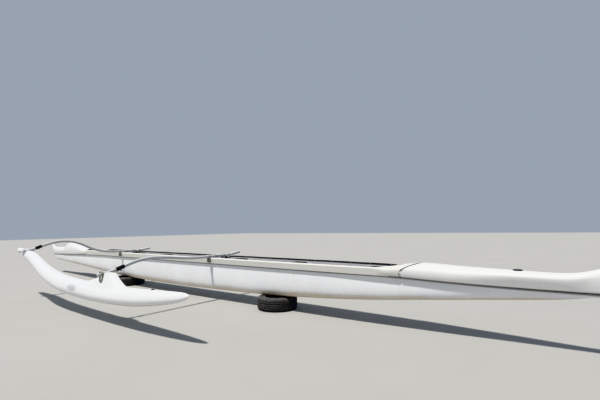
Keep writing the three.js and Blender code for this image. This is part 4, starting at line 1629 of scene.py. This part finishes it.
@dataclass
class Boom:
    """One curved boom with its black wrap, its lashings at the hull and at the float."""

    name: str
    station: float
    top: Rows
    outboard_end: float
    wrap: tuple[float, float]
    float_heights: tuple[float, float]
    float_cord: Cord
    taped: tuple[float, float] | None = None
    wide: float = 0.060
    thick: float = 0.048
    inboard_end: float = -0.500
    end_round: float = 0.016
    float_lashing: float = 0.068
    cord: float = 0.0028

    def section(self, y: Array) -> tuple[Array, Array, Array]:
        """Centreline, half width and half thickness at the across positions y.

        Args:
            y: across positions.

        Returns:
            The three, one entry for each position.
        """
        wide = self.wide / 2 - 0.009 * smooth((y - 0.7) / 1.3)
        thick = self.thick / 2 + 0 * y
        path = np.stack([0 * y + self.station, y, self.top(y) - thick], axis=1)
        return path, wide, thick

    def build(self) -> None:
        """Builds the bar, the wrap and the lashings."""
        near = self.end_round * (1 - np.cos(np.linspace(0, math.pi / 2, 8)[:-1]))
        middle = np.linspace(self.inboard_end + 0.017, self.outboard_end - 0.017, 170)
        y = np.concatenate([self.inboard_end + near, middle, self.outboard_end - near[::-1]])
        path, wide, thick = self.section(y)
        size = ends_rounded(y, self.end_round, 0.3)
        skin = Skin(f"boom_bar_{self.name}").tube(bar(path, wide * size, thick * size, 3.2, 36))
        skin.make([BOOM_GREY], "boom_grey", [f"boom_{self.name}"])
        self.build_wrap()
        if self.taped:
            tape = Skin(f"tape_{self.name}").ring(self.sleeve(*self.taped))
            tape.make([TAPE_WHITE], "lashing_grey", sharp=50)
        for side in Side:
            self.build_hull_lashing(side)
            self.build_spreader_lashing(side)
        for number, sign in (("in", -1), ("out", 1)):
            self.build_float_lashing(number, FLOAT_OFFSET + sign * self.float_lashing)

    def sleeve(self, start: float, end: float) -> Array:
        """A strip wound round the boom, each turn lapping the last.

        It stands off by a saw tooth of the distance along over the strip's pitch plus the turn
        round the boom.

        Args:
            start: across position of its inner end.
            end: across position of its outer end.

        Returns:
            Rings of the outer and then of the inner side.
        """
        y = np.linspace(start, end, 96)
        path, wide, thick = self.section(y)
        sides = 48
        turn = np.arange(sides) / sides
        lap = np.mod((y[:, None] - start) / 0.026 + turn[None], 1.0)
        stand = 0.0016 + 0.0024 * smooth(lap / 0.85) * (1 - smooth((lap - 0.9) / 0.1))
        ends = smooth((y - start + 0.004) / 0.008) * smooth((end + 0.004 - y) / 0.008)
        stand = stand * ends[:, None]
        inner = bar(path, wide + 0.0002, thick + 0.0002, 3.2, sides)
        outward = inner - path[:, None]
        outward /= np.linalg.norm(outward, axis=-1, keepdims=True)
        outer = inner + outward * (stand + 0.0008)[..., None]
        return np.concatenate([outer, inner[::-1]])

    def build_wrap(self) -> None:
        """Black rubber strip wound round the boom near the float, with its two loose ends."""
        start, end = self.wrap
        skin = Skin(f"wrap_skin_{self.name}").ring(self.sleeve(start, end))
        for number, place in enumerate((start + 0.02, end - 0.03)):
            t = np.linspace(0, 1, 14)
            at = self.section(np.array([place]))[0][0]
            sign = 1 - 2 * number
            tail = np.stack([
                at[0] + sign * (0.028 + 0.034 * t),
                at[1] + 0.016 * t * sign,
                at[2] + 0.006 - 0.030 * t**2 + 0.004 * np.sin(5 * t),
            ], axis=1)
            skin.tube(bar(tail, 0.010, 0.0011, 4, 12, (0, 1, 0)))
        skin.make([WRAP_BLACK], "wrap_black", [f"wrap_{self.name}"], sharp=50)

    def coil(self, centre: Sequence[float], size: tuple[float, float], axis: int, turns: float, pitch: float,
             power: float = 5.0, layers: int = 1) -> Array:
        """Path of a cord wound round two posts: a superellipse that advances by a pitch each turn.

        Args:
            centre: middle of the first turn.
            size: half sizes of the turn across the winding axis.
            axis: the winding axis, 0, 1 or 2.
            turns: number of turns in a layer.
            pitch: advance of each turn.
            power: exponent of the turn's outline.
            layers: how many layers lie on each other, there and back.

        Returns:
            Points of the path.
        """
        total = turns * layers
        a = np.linspace(0, total * TURN, int(total * 52))
        laps = a / TURN
        layer = np.minimum(np.floor(laps / turns), layers - 1)
        back = np.mod(layer, 2) == 1
        within = laps - layer * turns
        advance = np.where(back, turns - within, within) * pitch
        grow = smooth((laps - layer * turns) * 3) * (layer > 0) + np.maximum(layer - 1, 0)
        grow = grow * self.cord * 1.8
        wobble = 0.0006 * np.sin(3 * laps * 2.1) + 0.0004 * np.sin(laps * 9.7 + axis)
        first = signed_power(np.cos(a), 2 / power) * (size[0] + grow + wobble)
        second = signed_power(np.sin(a), 2 / power) * (size[1] + grow + wobble)
        points = np.zeros((len(a), 3))
        others = [k for k in range(3) if k != axis]
        points[:, others[0]] = first
        points[:, others[1]] = second
        points[:, axis] = advance
        return points + np.array(centre, float)

    @staticmethod
    def leaned_in(path: Array, side: Side) -> Array:
        """The path moved in to follow the gunwale's leaning face.

        Args:
            path: points of the path.
            side: which side of the hull.

        Returns:
            The moved points.
        """
        moved = path.copy()
        moved[:, 1] -= side.value * Gunwales.lean(path[:, 2])
        return moved

    def wind(self, skin: Skin, path: Array, axis: int) -> None:
        """Gives a coil's path the cord's round section.

        Args:
            skin: the piece in the making.
            path: points of the path.
            axis: the winding axis, 0, 1 or 2.
        """
        side = [0.0, 0.0, 0.0]
        side[axis] = 1.0
        length = float(np.linalg.norm(np.diff(path, axis=0), axis=1).sum())
        skin.tube(bar(path, self.cord, self.cord, 2, 8, tuple(side)), length=length)

    def tail(self, skin: Skin, start: Sequence[float], away: Sequence[float], drop: float) -> None:
        """A knot and a loose end that curves away and down.

        Two figures of eight make the knot; the end falls by the square of the way along.

        Args:
            skin: the piece in the making.
            start: where the knot lies.
            away: direction of the loose end.
            drop: how far the loose end falls.
        """
        start, away = np.array(start, float), np.array(away, float)
        for k in range(2):
            a = np.linspace(0, TURN * 0.95, 26)
            rise = 0.003 * np.sin(2 * a) + 0.002 * k
            loop = np.stack([0.0042 * np.cos(a), rise, 0.0048 * np.sin(a)], axis=1)
            self.wind(skin, loop + start + away * 0.004 * k, 1)
        t = np.linspace(0, 1, 16)[:, None]
        path = start + away * (0.06 * t - 0.018 * t**2) + np.array([0, 0, -drop]) * t**2
        self.wind(skin, path, 2 if abs(away[2]) < 0.5 else 0)

    def build_hull_lashing(self, side: Side) -> None:
        """Cord over the boom and down the gunwale's face, drawn together by turns round it.

        Args:
            side: which side of the hull.
        """
        b = float(LINES.half_width(self.station)) + GAP
        r = self.cord
        inner = b + r + 0.0005
        first = min(inner * side.value, (b + 0.0215 - r) * side.value)
        top = float(self.top(side.value * (b + 0.011))) + r + 0.0005
        bottom = -0.082 + r
        middle, half = (top + bottom) / 2, (top - bottom) / 2
        skin = Skin(f"lash_cord_{self.name}_{side.name.lower()}")
        loops = self.coil((self.station, first, middle), (0.0305 + r, half), 1, 4, 0.0051, 6.0)
        self.wind(skin, self.leaned_in(loops, side), 1)
        centre = (self.station, side.value * (b + 0.0107), -0.062)
        frap = self.coil(centre, (0.0385, 0.0098), 2, 7, 0.0061, 4.0)
        self.wind(skin, self.leaned_in(frap, side), 2)
        knot = (self.station + 0.030, side.value * (b + 0.020), -0.058)
        self.tail(skin, knot, (0.5, 0.1 * side.value, -0.3), 0.03)
        skin.make([CORD_OLIVE], "lashing_grey", [f"lash_{self.name}_{side.name.lower()}"], sharp=80)

    def build_spreader_lashing(self, side: Side) -> None:
        """Pale cord inside the cockpit that ties the boom to the spreader below it.

        Args:
            side: which side of the hull.
        """
        b = float(LINES.half_width(self.station)) - 0.112
        r = self.cord
        top = float(self.top(b)) + r + 0.0006
        bottom = -0.0735 - r
        middle, half = (top + bottom) / 2, (top - bottom) / 2
        skin = Skin(f"lash_inner_{self.name}_{side.name.lower()}")
        start = side.value * b - 0.016
        self.wind(skin, self.coil((self.station, start, middle), (0.031 + r, half), 1, 6, 0.0057, 6.0, 2), 1)
        skin.make([CORD_PALE], "lashing_grey", sharp=80)

    def build_float_lashing(self, number: str, place: float) -> None:
        """Cord round the boom and the float's saddle, drawn tight below the boom.

        Args:
            number: which of the two, in or out.
            place: across position.
        """
        low, high = self.float_heights
        r = self.cord
        middle, half = (low + high) / 2, (high - low) / 2 - r
        skin = Skin(f"lash_float_{self.name}_{number}")
        loops = self.coil((self.station, place - 0.0100, middle), (0.0400, half), 1, 4, 0.0052, 6.0, 2)
        self.wind(skin, loops, 1)
        frap = self.coil((self.station, place, low + 0.022), (0.045, 0.0125), 2, 3, 0.0060, 4.0)
        self.wind(skin, frap, 2)
        skin.make([self.float_cord], "lashing_grey", [f"lash_ama_{self.name}_{number}"], sharp=80)


def booms() -> list[Boom]:
    """The two booms: across position and height of the top, in millimetres.

    Returns:
        The rear and the front boom.
    """
    rear = Rows(
        (-500, 88), (-400, 75), (-300, 59), (-240, 49), (0, 49), (240, 49), (400, 45), (610, 50), (850, 72),
        (1050, 93), (1250, 105), (1400, 98), (1550, 73), (1700, 27), (1850, -24), (1960, -54), (2030, -63),
        (2085, -66),
    )
    front = Rows(
        (-500, 88), (-400, 75), (-300, 59), (-240, 49), (0, 49), (240, 49), (350, 53), (450, 62), (550, 74),
        (660, 95), (770, 126), (870, 166), (970, 215), (1070, 261), (1220, 308), (1370, 323), (1490, 315),
        (1610, 289), (1750, 243), (1870, 198), (1960, 173), (2030, 163), (2110, 159),
    )
    return [
        Boom("rear", 0.0, rear, 2.085, (1.720, 1.835), (-0.190, -0.052), CORD_OLIVE),
        Boom("front", BOOM_SPACING, front, 2.110, (1.750, 1.850), (0.068, 0.174), CORD_PALE, (1.955, 2.104)),
    ]


@dataclass
class Float:
    """The outrigger float: a slim body with an upturned nose and a saddle under each boom."""

    # Station, top, bottom and half width
    rows: Rows = field(default_factory=lambda: Rows(
        (-1840, -192, -212, 9), (-1780, -177, -248, 29), (-1660, -175, -289, 50), (-1270, -192, -364, 83),
        (-750, -216, -432, 106), (-130, -232, -470, 116), (700, -228, -480, 119), (1420, -197, -450, 117),
        (1835, -147, -392, 112), (2145, -90, -312, 106), (2400, -28, -225, 99), (2660, 55, -135, 92),
        (2920, 125, -50, 84), (3130, 138, 0, 76), (3300, 156, 45, 68), (3450, 178, 80, 58),
        (3615, 184, 106, 43), (3700, 168, 124, 25), (3724, 152, 132, 10),
    ))
    # Boom station, floor of the notch, height of the saddle, its aft and fore edge, and the run of
    # the slope behind and before it
    saddles: tuple[tuple[float, ...], ...] = (
        (0.0, -0.120, 0.170, -0.186, -0.050, 0.310, 0.700),
        (BOOM_SPACING, 0.108, 0.008, 3.000, 3.260, 0.200, 0.200),
    )
    notch: float = 0.031
    power: float = 2.2
    plug_station: float = -1.150

    def ridge(self, x: Array, y: Array, wide: Array) -> Array:
        """Height that the saddles add: hollow slopes fore and aft, and a smooth step across.

        Along the float, 1 less the distance past the saddle's edge over the slope's run, to
        the power 1.5; across, a smooth step.

        Args:
            x: stations.
            y: across positions from the middle.
            wide: half widths.

        Returns:
            Heights.
        """
        height = 0 * y
        for _, _, rise, aft, fore, behind, before in self.saddles:
            away = np.maximum(np.maximum((aft - x) / behind, (x - fore) / before), 0)
            along = np.maximum(1 - away, 0) ** 1.5
            height = height + rise * along * smooth((wide * 0.86 - np.abs(y)) / (wide * 0.5))
        return height

    def stations(self) -> Array:
        """Stations along the float, with a pair at each wall of a notch.

        Returns:
            Stations from the tail to the nose.
        """
        first, last = self.rows.table[0, 0], self.rows.table[-1, 0]
        x = list(np.arange(first + 0.02, last - 0.01, 0.021))
        x += [first, first + 0.002, first + 0.006, first + 0.012, last - 0.006, last - 0.002, last]
        for boom, *_ in self.saddles:
            x = [v for v in x if abs(abs(v - boom) - self.notch) > 0.004]
            walls = (boom - self.notch, boom + self.notch)
            x += [wall + step for wall in walls for step in (-0.0025, -0.0004, 0.0004, 0.0025)]
        return np.array(sorted(x))

    def build(self) -> None:
        """Builds the float and its drain plug.

        A section is a superellipse of power 2.2 about a middle just below half height, with a
        raised mould seam along each side and the saddles added on top.
        """
        x = self.stations()[:, None]
        turn = np.arange(88) * TURN / 88
        c, s = np.cos(turn)[None], np.sin(turn)[None]
        top, bottom, wide = (self.rows(x, k) for k in (1, 2, 3))
        end = np.minimum(x - x[0], x[-1] - x)
        blunt = np.sqrt(1 - np.clip(1 - end / 0.014, 0, 0.98) ** 2)
        middle = (top + bottom) / 2 - (top - bottom) * 0.04
        seam = 1 + 0.010 * np.exp(-((s / 0.035) ** 2)) * smooth((wide - 0.02) / 0.05)
        y = signed_power(c, 2 / self.power) * wide * blunt * seam
        reach = np.where(s > 0, top - middle, middle - bottom) * blunt
        z = middle + signed_power(s, 2 / self.power) * reach
        z = z + np.where(s > 0, self.ridge(x, y, wide), 0)
        for boom, floor, *_ in self.saddles:
            z = np.where(np.abs(x - boom) < self.notch, np.minimum(z, floor), z)
        rings = np.stack([np.broadcast_to(x, y.shape), FLOAT_OFFSET + y, z], axis=-1)
        skin = Skin("float_skin").tube(rings)
        skin.make([FLOAT_WHITE], "ama_white", ["ama"], sharp=34)
        self.build_plug()

    def build_plug(self) -> None:
        """The drain's screw plug: a flange, a knurled knob and the bar to turn it by."""
        place = np.array([self.plug_station, FLOAT_OFFSET, float(self.rows(self.plug_station)) - 0.0005])
        flange = [(0.021, -0.003), (0.021, 0.0022), (0.0195, 0.0035), (0.017, 0.0038)]
        knob = turned([(0.0155, 0.0036), (0.0155, 0.0100), (0.0140, 0.0120), (0.011, 0.0125),
                       (0.010, 0.0105), (0.004, 0.0102)], place, 48)
        knurl = 1 - 0.04 * (np.arange(48) % 4 < 2)
        middle = knob[1].mean(axis=0)[:2]
        knob[1, :, :2] = middle + (knob[1, :, :2] - middle) * knurl[:, None]
        grip = place + np.array([[-0.009, 0, 0.0112], [0.009, 0, 0.0112]])
        skin = Skin("float_drain").tube(turned(flange, place, 40)).tube(knob)
        skin.tube(bar(grip, 0.0014, 0.0014, 4, 8, (0, 1, 0)))
        skin.make([PLASTIC], "fitting_black")


@dataclass
class Tyre:
    """An old car tyre lying flat: grooved tread, ribbed side walls, beads and an open middle."""

    name: str
    station: float
    radius: float
    width: float
    blocks: int
    # Share of the radius and share of the width round the carcass, from the lower bead
    section: tuple[tuple[float, float], ...] = (
        (0.60, 0.02), (0.64, 0.0), (0.72, 0.0), (0.80, 0.0), (0.86, 0.0), (0.92, 0.025), (0.965, 0.075),
        (0.99, 0.14), (1.0, 0.25), (1.0, 0.5), (1.0, 0.75), (0.99, 0.86), (0.965, 0.925), (0.92, 0.975),
        (0.86, 1.0), (0.80, 1.0), (0.72, 1.0), (0.64, 1.0), (0.60, 0.98), (0.60, 0.90), (0.66, 0.915),
        (0.74, 0.925), (0.86, 0.92), (0.925, 0.86), (0.945, 0.5), (0.925, 0.14), (0.86, 0.08), (0.74, 0.075),
        (0.66, 0.085), (0.60, 0.10), (0.60, 0.02),
    )

    def build(self) -> None:
        """Revolves the section, cut by grooves round the tread and between the shoulder blocks.

        A point is moved in along the section's normal by the depth there: four grooves round
        the tread, a slot at every fifth angle, and a sine of the radius for the ribs.
        """
        rows = resample([(r * self.radius, h * self.width) for r, h in self.section], 181)[:-1]
        ahead = np.roll(rows, -1, axis=0) - np.roll(rows, 1, axis=0)
        outward = np.stack([ahead[:, 1], -ahead[:, 0]], axis=1)
        outward /= np.linalg.norm(outward, axis=1, keepdims=True)
        r, h = rows[:, 0] / self.radius, rows[:, 1] / self.width
        tread = (r > 0.985).astype(float)
        cut = np.zeros_like(r)
        for place in (0.26, 0.42, 0.58, 0.74):
            cut += 0.007 * (np.abs(h - place) < 0.024)
        outer_wall = ((h < 0.06) | (h > 0.94)) & (r > 0.66)
        ribs = 0.0009 * np.sin(r * self.radius * TURN / 0.009) * outer_wall
        ribs += 0.0016 * np.exp(-(((r - 0.70) / 0.008) ** 2)) * ((h < 0.03) | (h > 0.97))
        count = self.blocks * 5
        angle = np.arange(count) * TURN / count
        slot = (np.arange(count) % 5 == 0).astype(float)
        shoulder = ((r > 0.955) & ((h < 0.24) | (h > 0.76)) & (h > 0.05) & (h < 0.95)).astype(float)
        sipe = (tread > 0) & (h > 0.26) & (h < 0.74)
        depth = cut * tread - ribs
        depth = depth[:, None] + 0.005 * shoulder[:, None] * slot[None]
        depth = depth + 0.0025 * sipe[:, None] * np.roll(slot, 2)[None]
        out = rows[:, None] - outward[:, None] * depth[..., None]
        rings = np.stack([
            self.station + out[..., 0] * np.cos(angle),
            out[..., 0] * np.sin(angle),
            FLOOR + np.maximum(out[..., 1], 0),
        ], axis=-1)
        skin = Skin(f"{self.name}_carcass").ring(rings)
        skin.make([TYRE_BLACK], "tyre_rubber", [self.name], sharp=42)


@dataclass
class Studio:
    """Plain pale floor, soft sky, a sun from above, and the camera at the photograph's place.

    The camera's place is in the hull's frame, its angles are in degrees and its lens in
    millimetres.
    """

    camera_place: tuple[float, float, float] = (-5.1131, 4.3262, 0.5072)
    yaw: float = -52.98
    pitch: float = 4.381
    roll: float = -0.8187
    lens: float = 21.55
    sensor: float = 36.0
    sun_from: tuple[float, float, float] = (0.05, 0.39, 0.92)
    sun_strength: float = 5.0
    sun_spread: float = 3.0
    sun_colour: Colour = (1.0, 0.965, 0.91)
    sky_strength: float = 0.48
    sky_colour: Colour = (0.74, 0.84, 1.0)
    floor_size: float = 60.0
    floor_height: float = -0.0005

    def build(self) -> None:
        """Builds the floor, the lights and the camera."""
        self.build_floor()
        self.build_lights()
        self.build_camera()

    def build_floor(self) -> None:
        """A square floor just under the tyres."""
        reach = self.floor_size
        mesh = bpy.data.meshes.new("floor")
        corners = [(x * reach, y * reach, self.floor_height) for x, y in ((-1, -1), (1, -1), (1, 1), (-1, 1))]
        mesh.from_pydata(corners, [], [(0, 1, 2, 3)])
        mesh.materials.append(FLOOR_TONE.material())
        floor = bpy.data.objects.new("floor", mesh)
        bpy.context.scene.collection.objects.link(floor)

    def build_lights(self) -> None:
        """A pale blue-white sky all round and a sun with a fairly crisp edge."""
        world = bpy.data.worlds.new("studio_sky")
        world.use_nodes = True
        background = world.node_tree.nodes["Background"]
        background.inputs["Color"].default_value = (*self.sky_colour, 1.0)
        background.inputs["Strength"].default_value = self.sky_strength
        bpy.context.scene.world = world
        sun = bpy.data.lights.new("sun", "SUN")
        sun.energy = self.sun_strength
        sun.angle = math.radians(self.sun_spread)
        sun.color = self.sun_colour
        lamp = bpy.data.objects.new("sun", sun)
        lamp.rotation_euler = Vector(self.sun_from).to_track_quat("Z", "Y").to_euler()
        lamp.location = Vector(self.sun_from) * 20
        bpy.context.scene.collection.objects.link(lamp)
        view = bpy.context.scene.view_settings
        view.view_transform = "Khronos PBR Neutral"
        view.exposure = 0.0

    def build_camera(self) -> None:
        """The camera: yaw about the vertical, then pitch, then roll about its own axis."""
        yaw, pitch, roll = (math.radians(v) for v in (self.yaw, self.pitch, self.roll))
        ahead = Vector((math.cos(pitch) * math.cos(yaw), math.cos(pitch) * math.sin(yaw), math.sin(pitch)))
        level = Vector((math.sin(yaw), -math.cos(yaw), 0))
        above = level.cross(ahead)
        right = level * math.cos(roll) + above * math.sin(roll)
        up = above * math.cos(roll) - level * math.sin(roll)
        camera = bpy.data.cameras.new("camera")
        camera.lens = self.lens
        camera.sensor_width = self.sensor
        camera.sensor_fit = "HORIZONTAL"
        camera.clip_end = 400.0
        holder = bpy.data.objects.new("camera", camera)
        turn = Matrix((right, up, -ahead)).transposed().to_4x4()
        holder.matrix_world = Matrix.Translation(Vector(self.camera_place) + Vector(ORIGIN)) @ turn
        bpy.context.scene.collection.objects.link(holder)
        bpy.context.scene.camera = holder


def main() -> None:
    """Builds the studio and every sub-assembly in order."""
    logging.basicConfig(level=logging.INFO, format="%(message)s")
    assemblies = [Studio(), HullSkin(), Gunwales(), Decks(), Inside(), *booms(), Float(),
                  Tyre("tyre_rear", REAR_TYRE_STATION, 0.310, 0.197, 62),
                  Tyre("tyre_front", FRONT_TYRE_STATION, 0.345, 0.182, 68)]
    for assembly in assemblies:
        assembly.build()
        LOG.info("built %s", type(assembly).__name__)


if __name__ == "__main__":
    main()
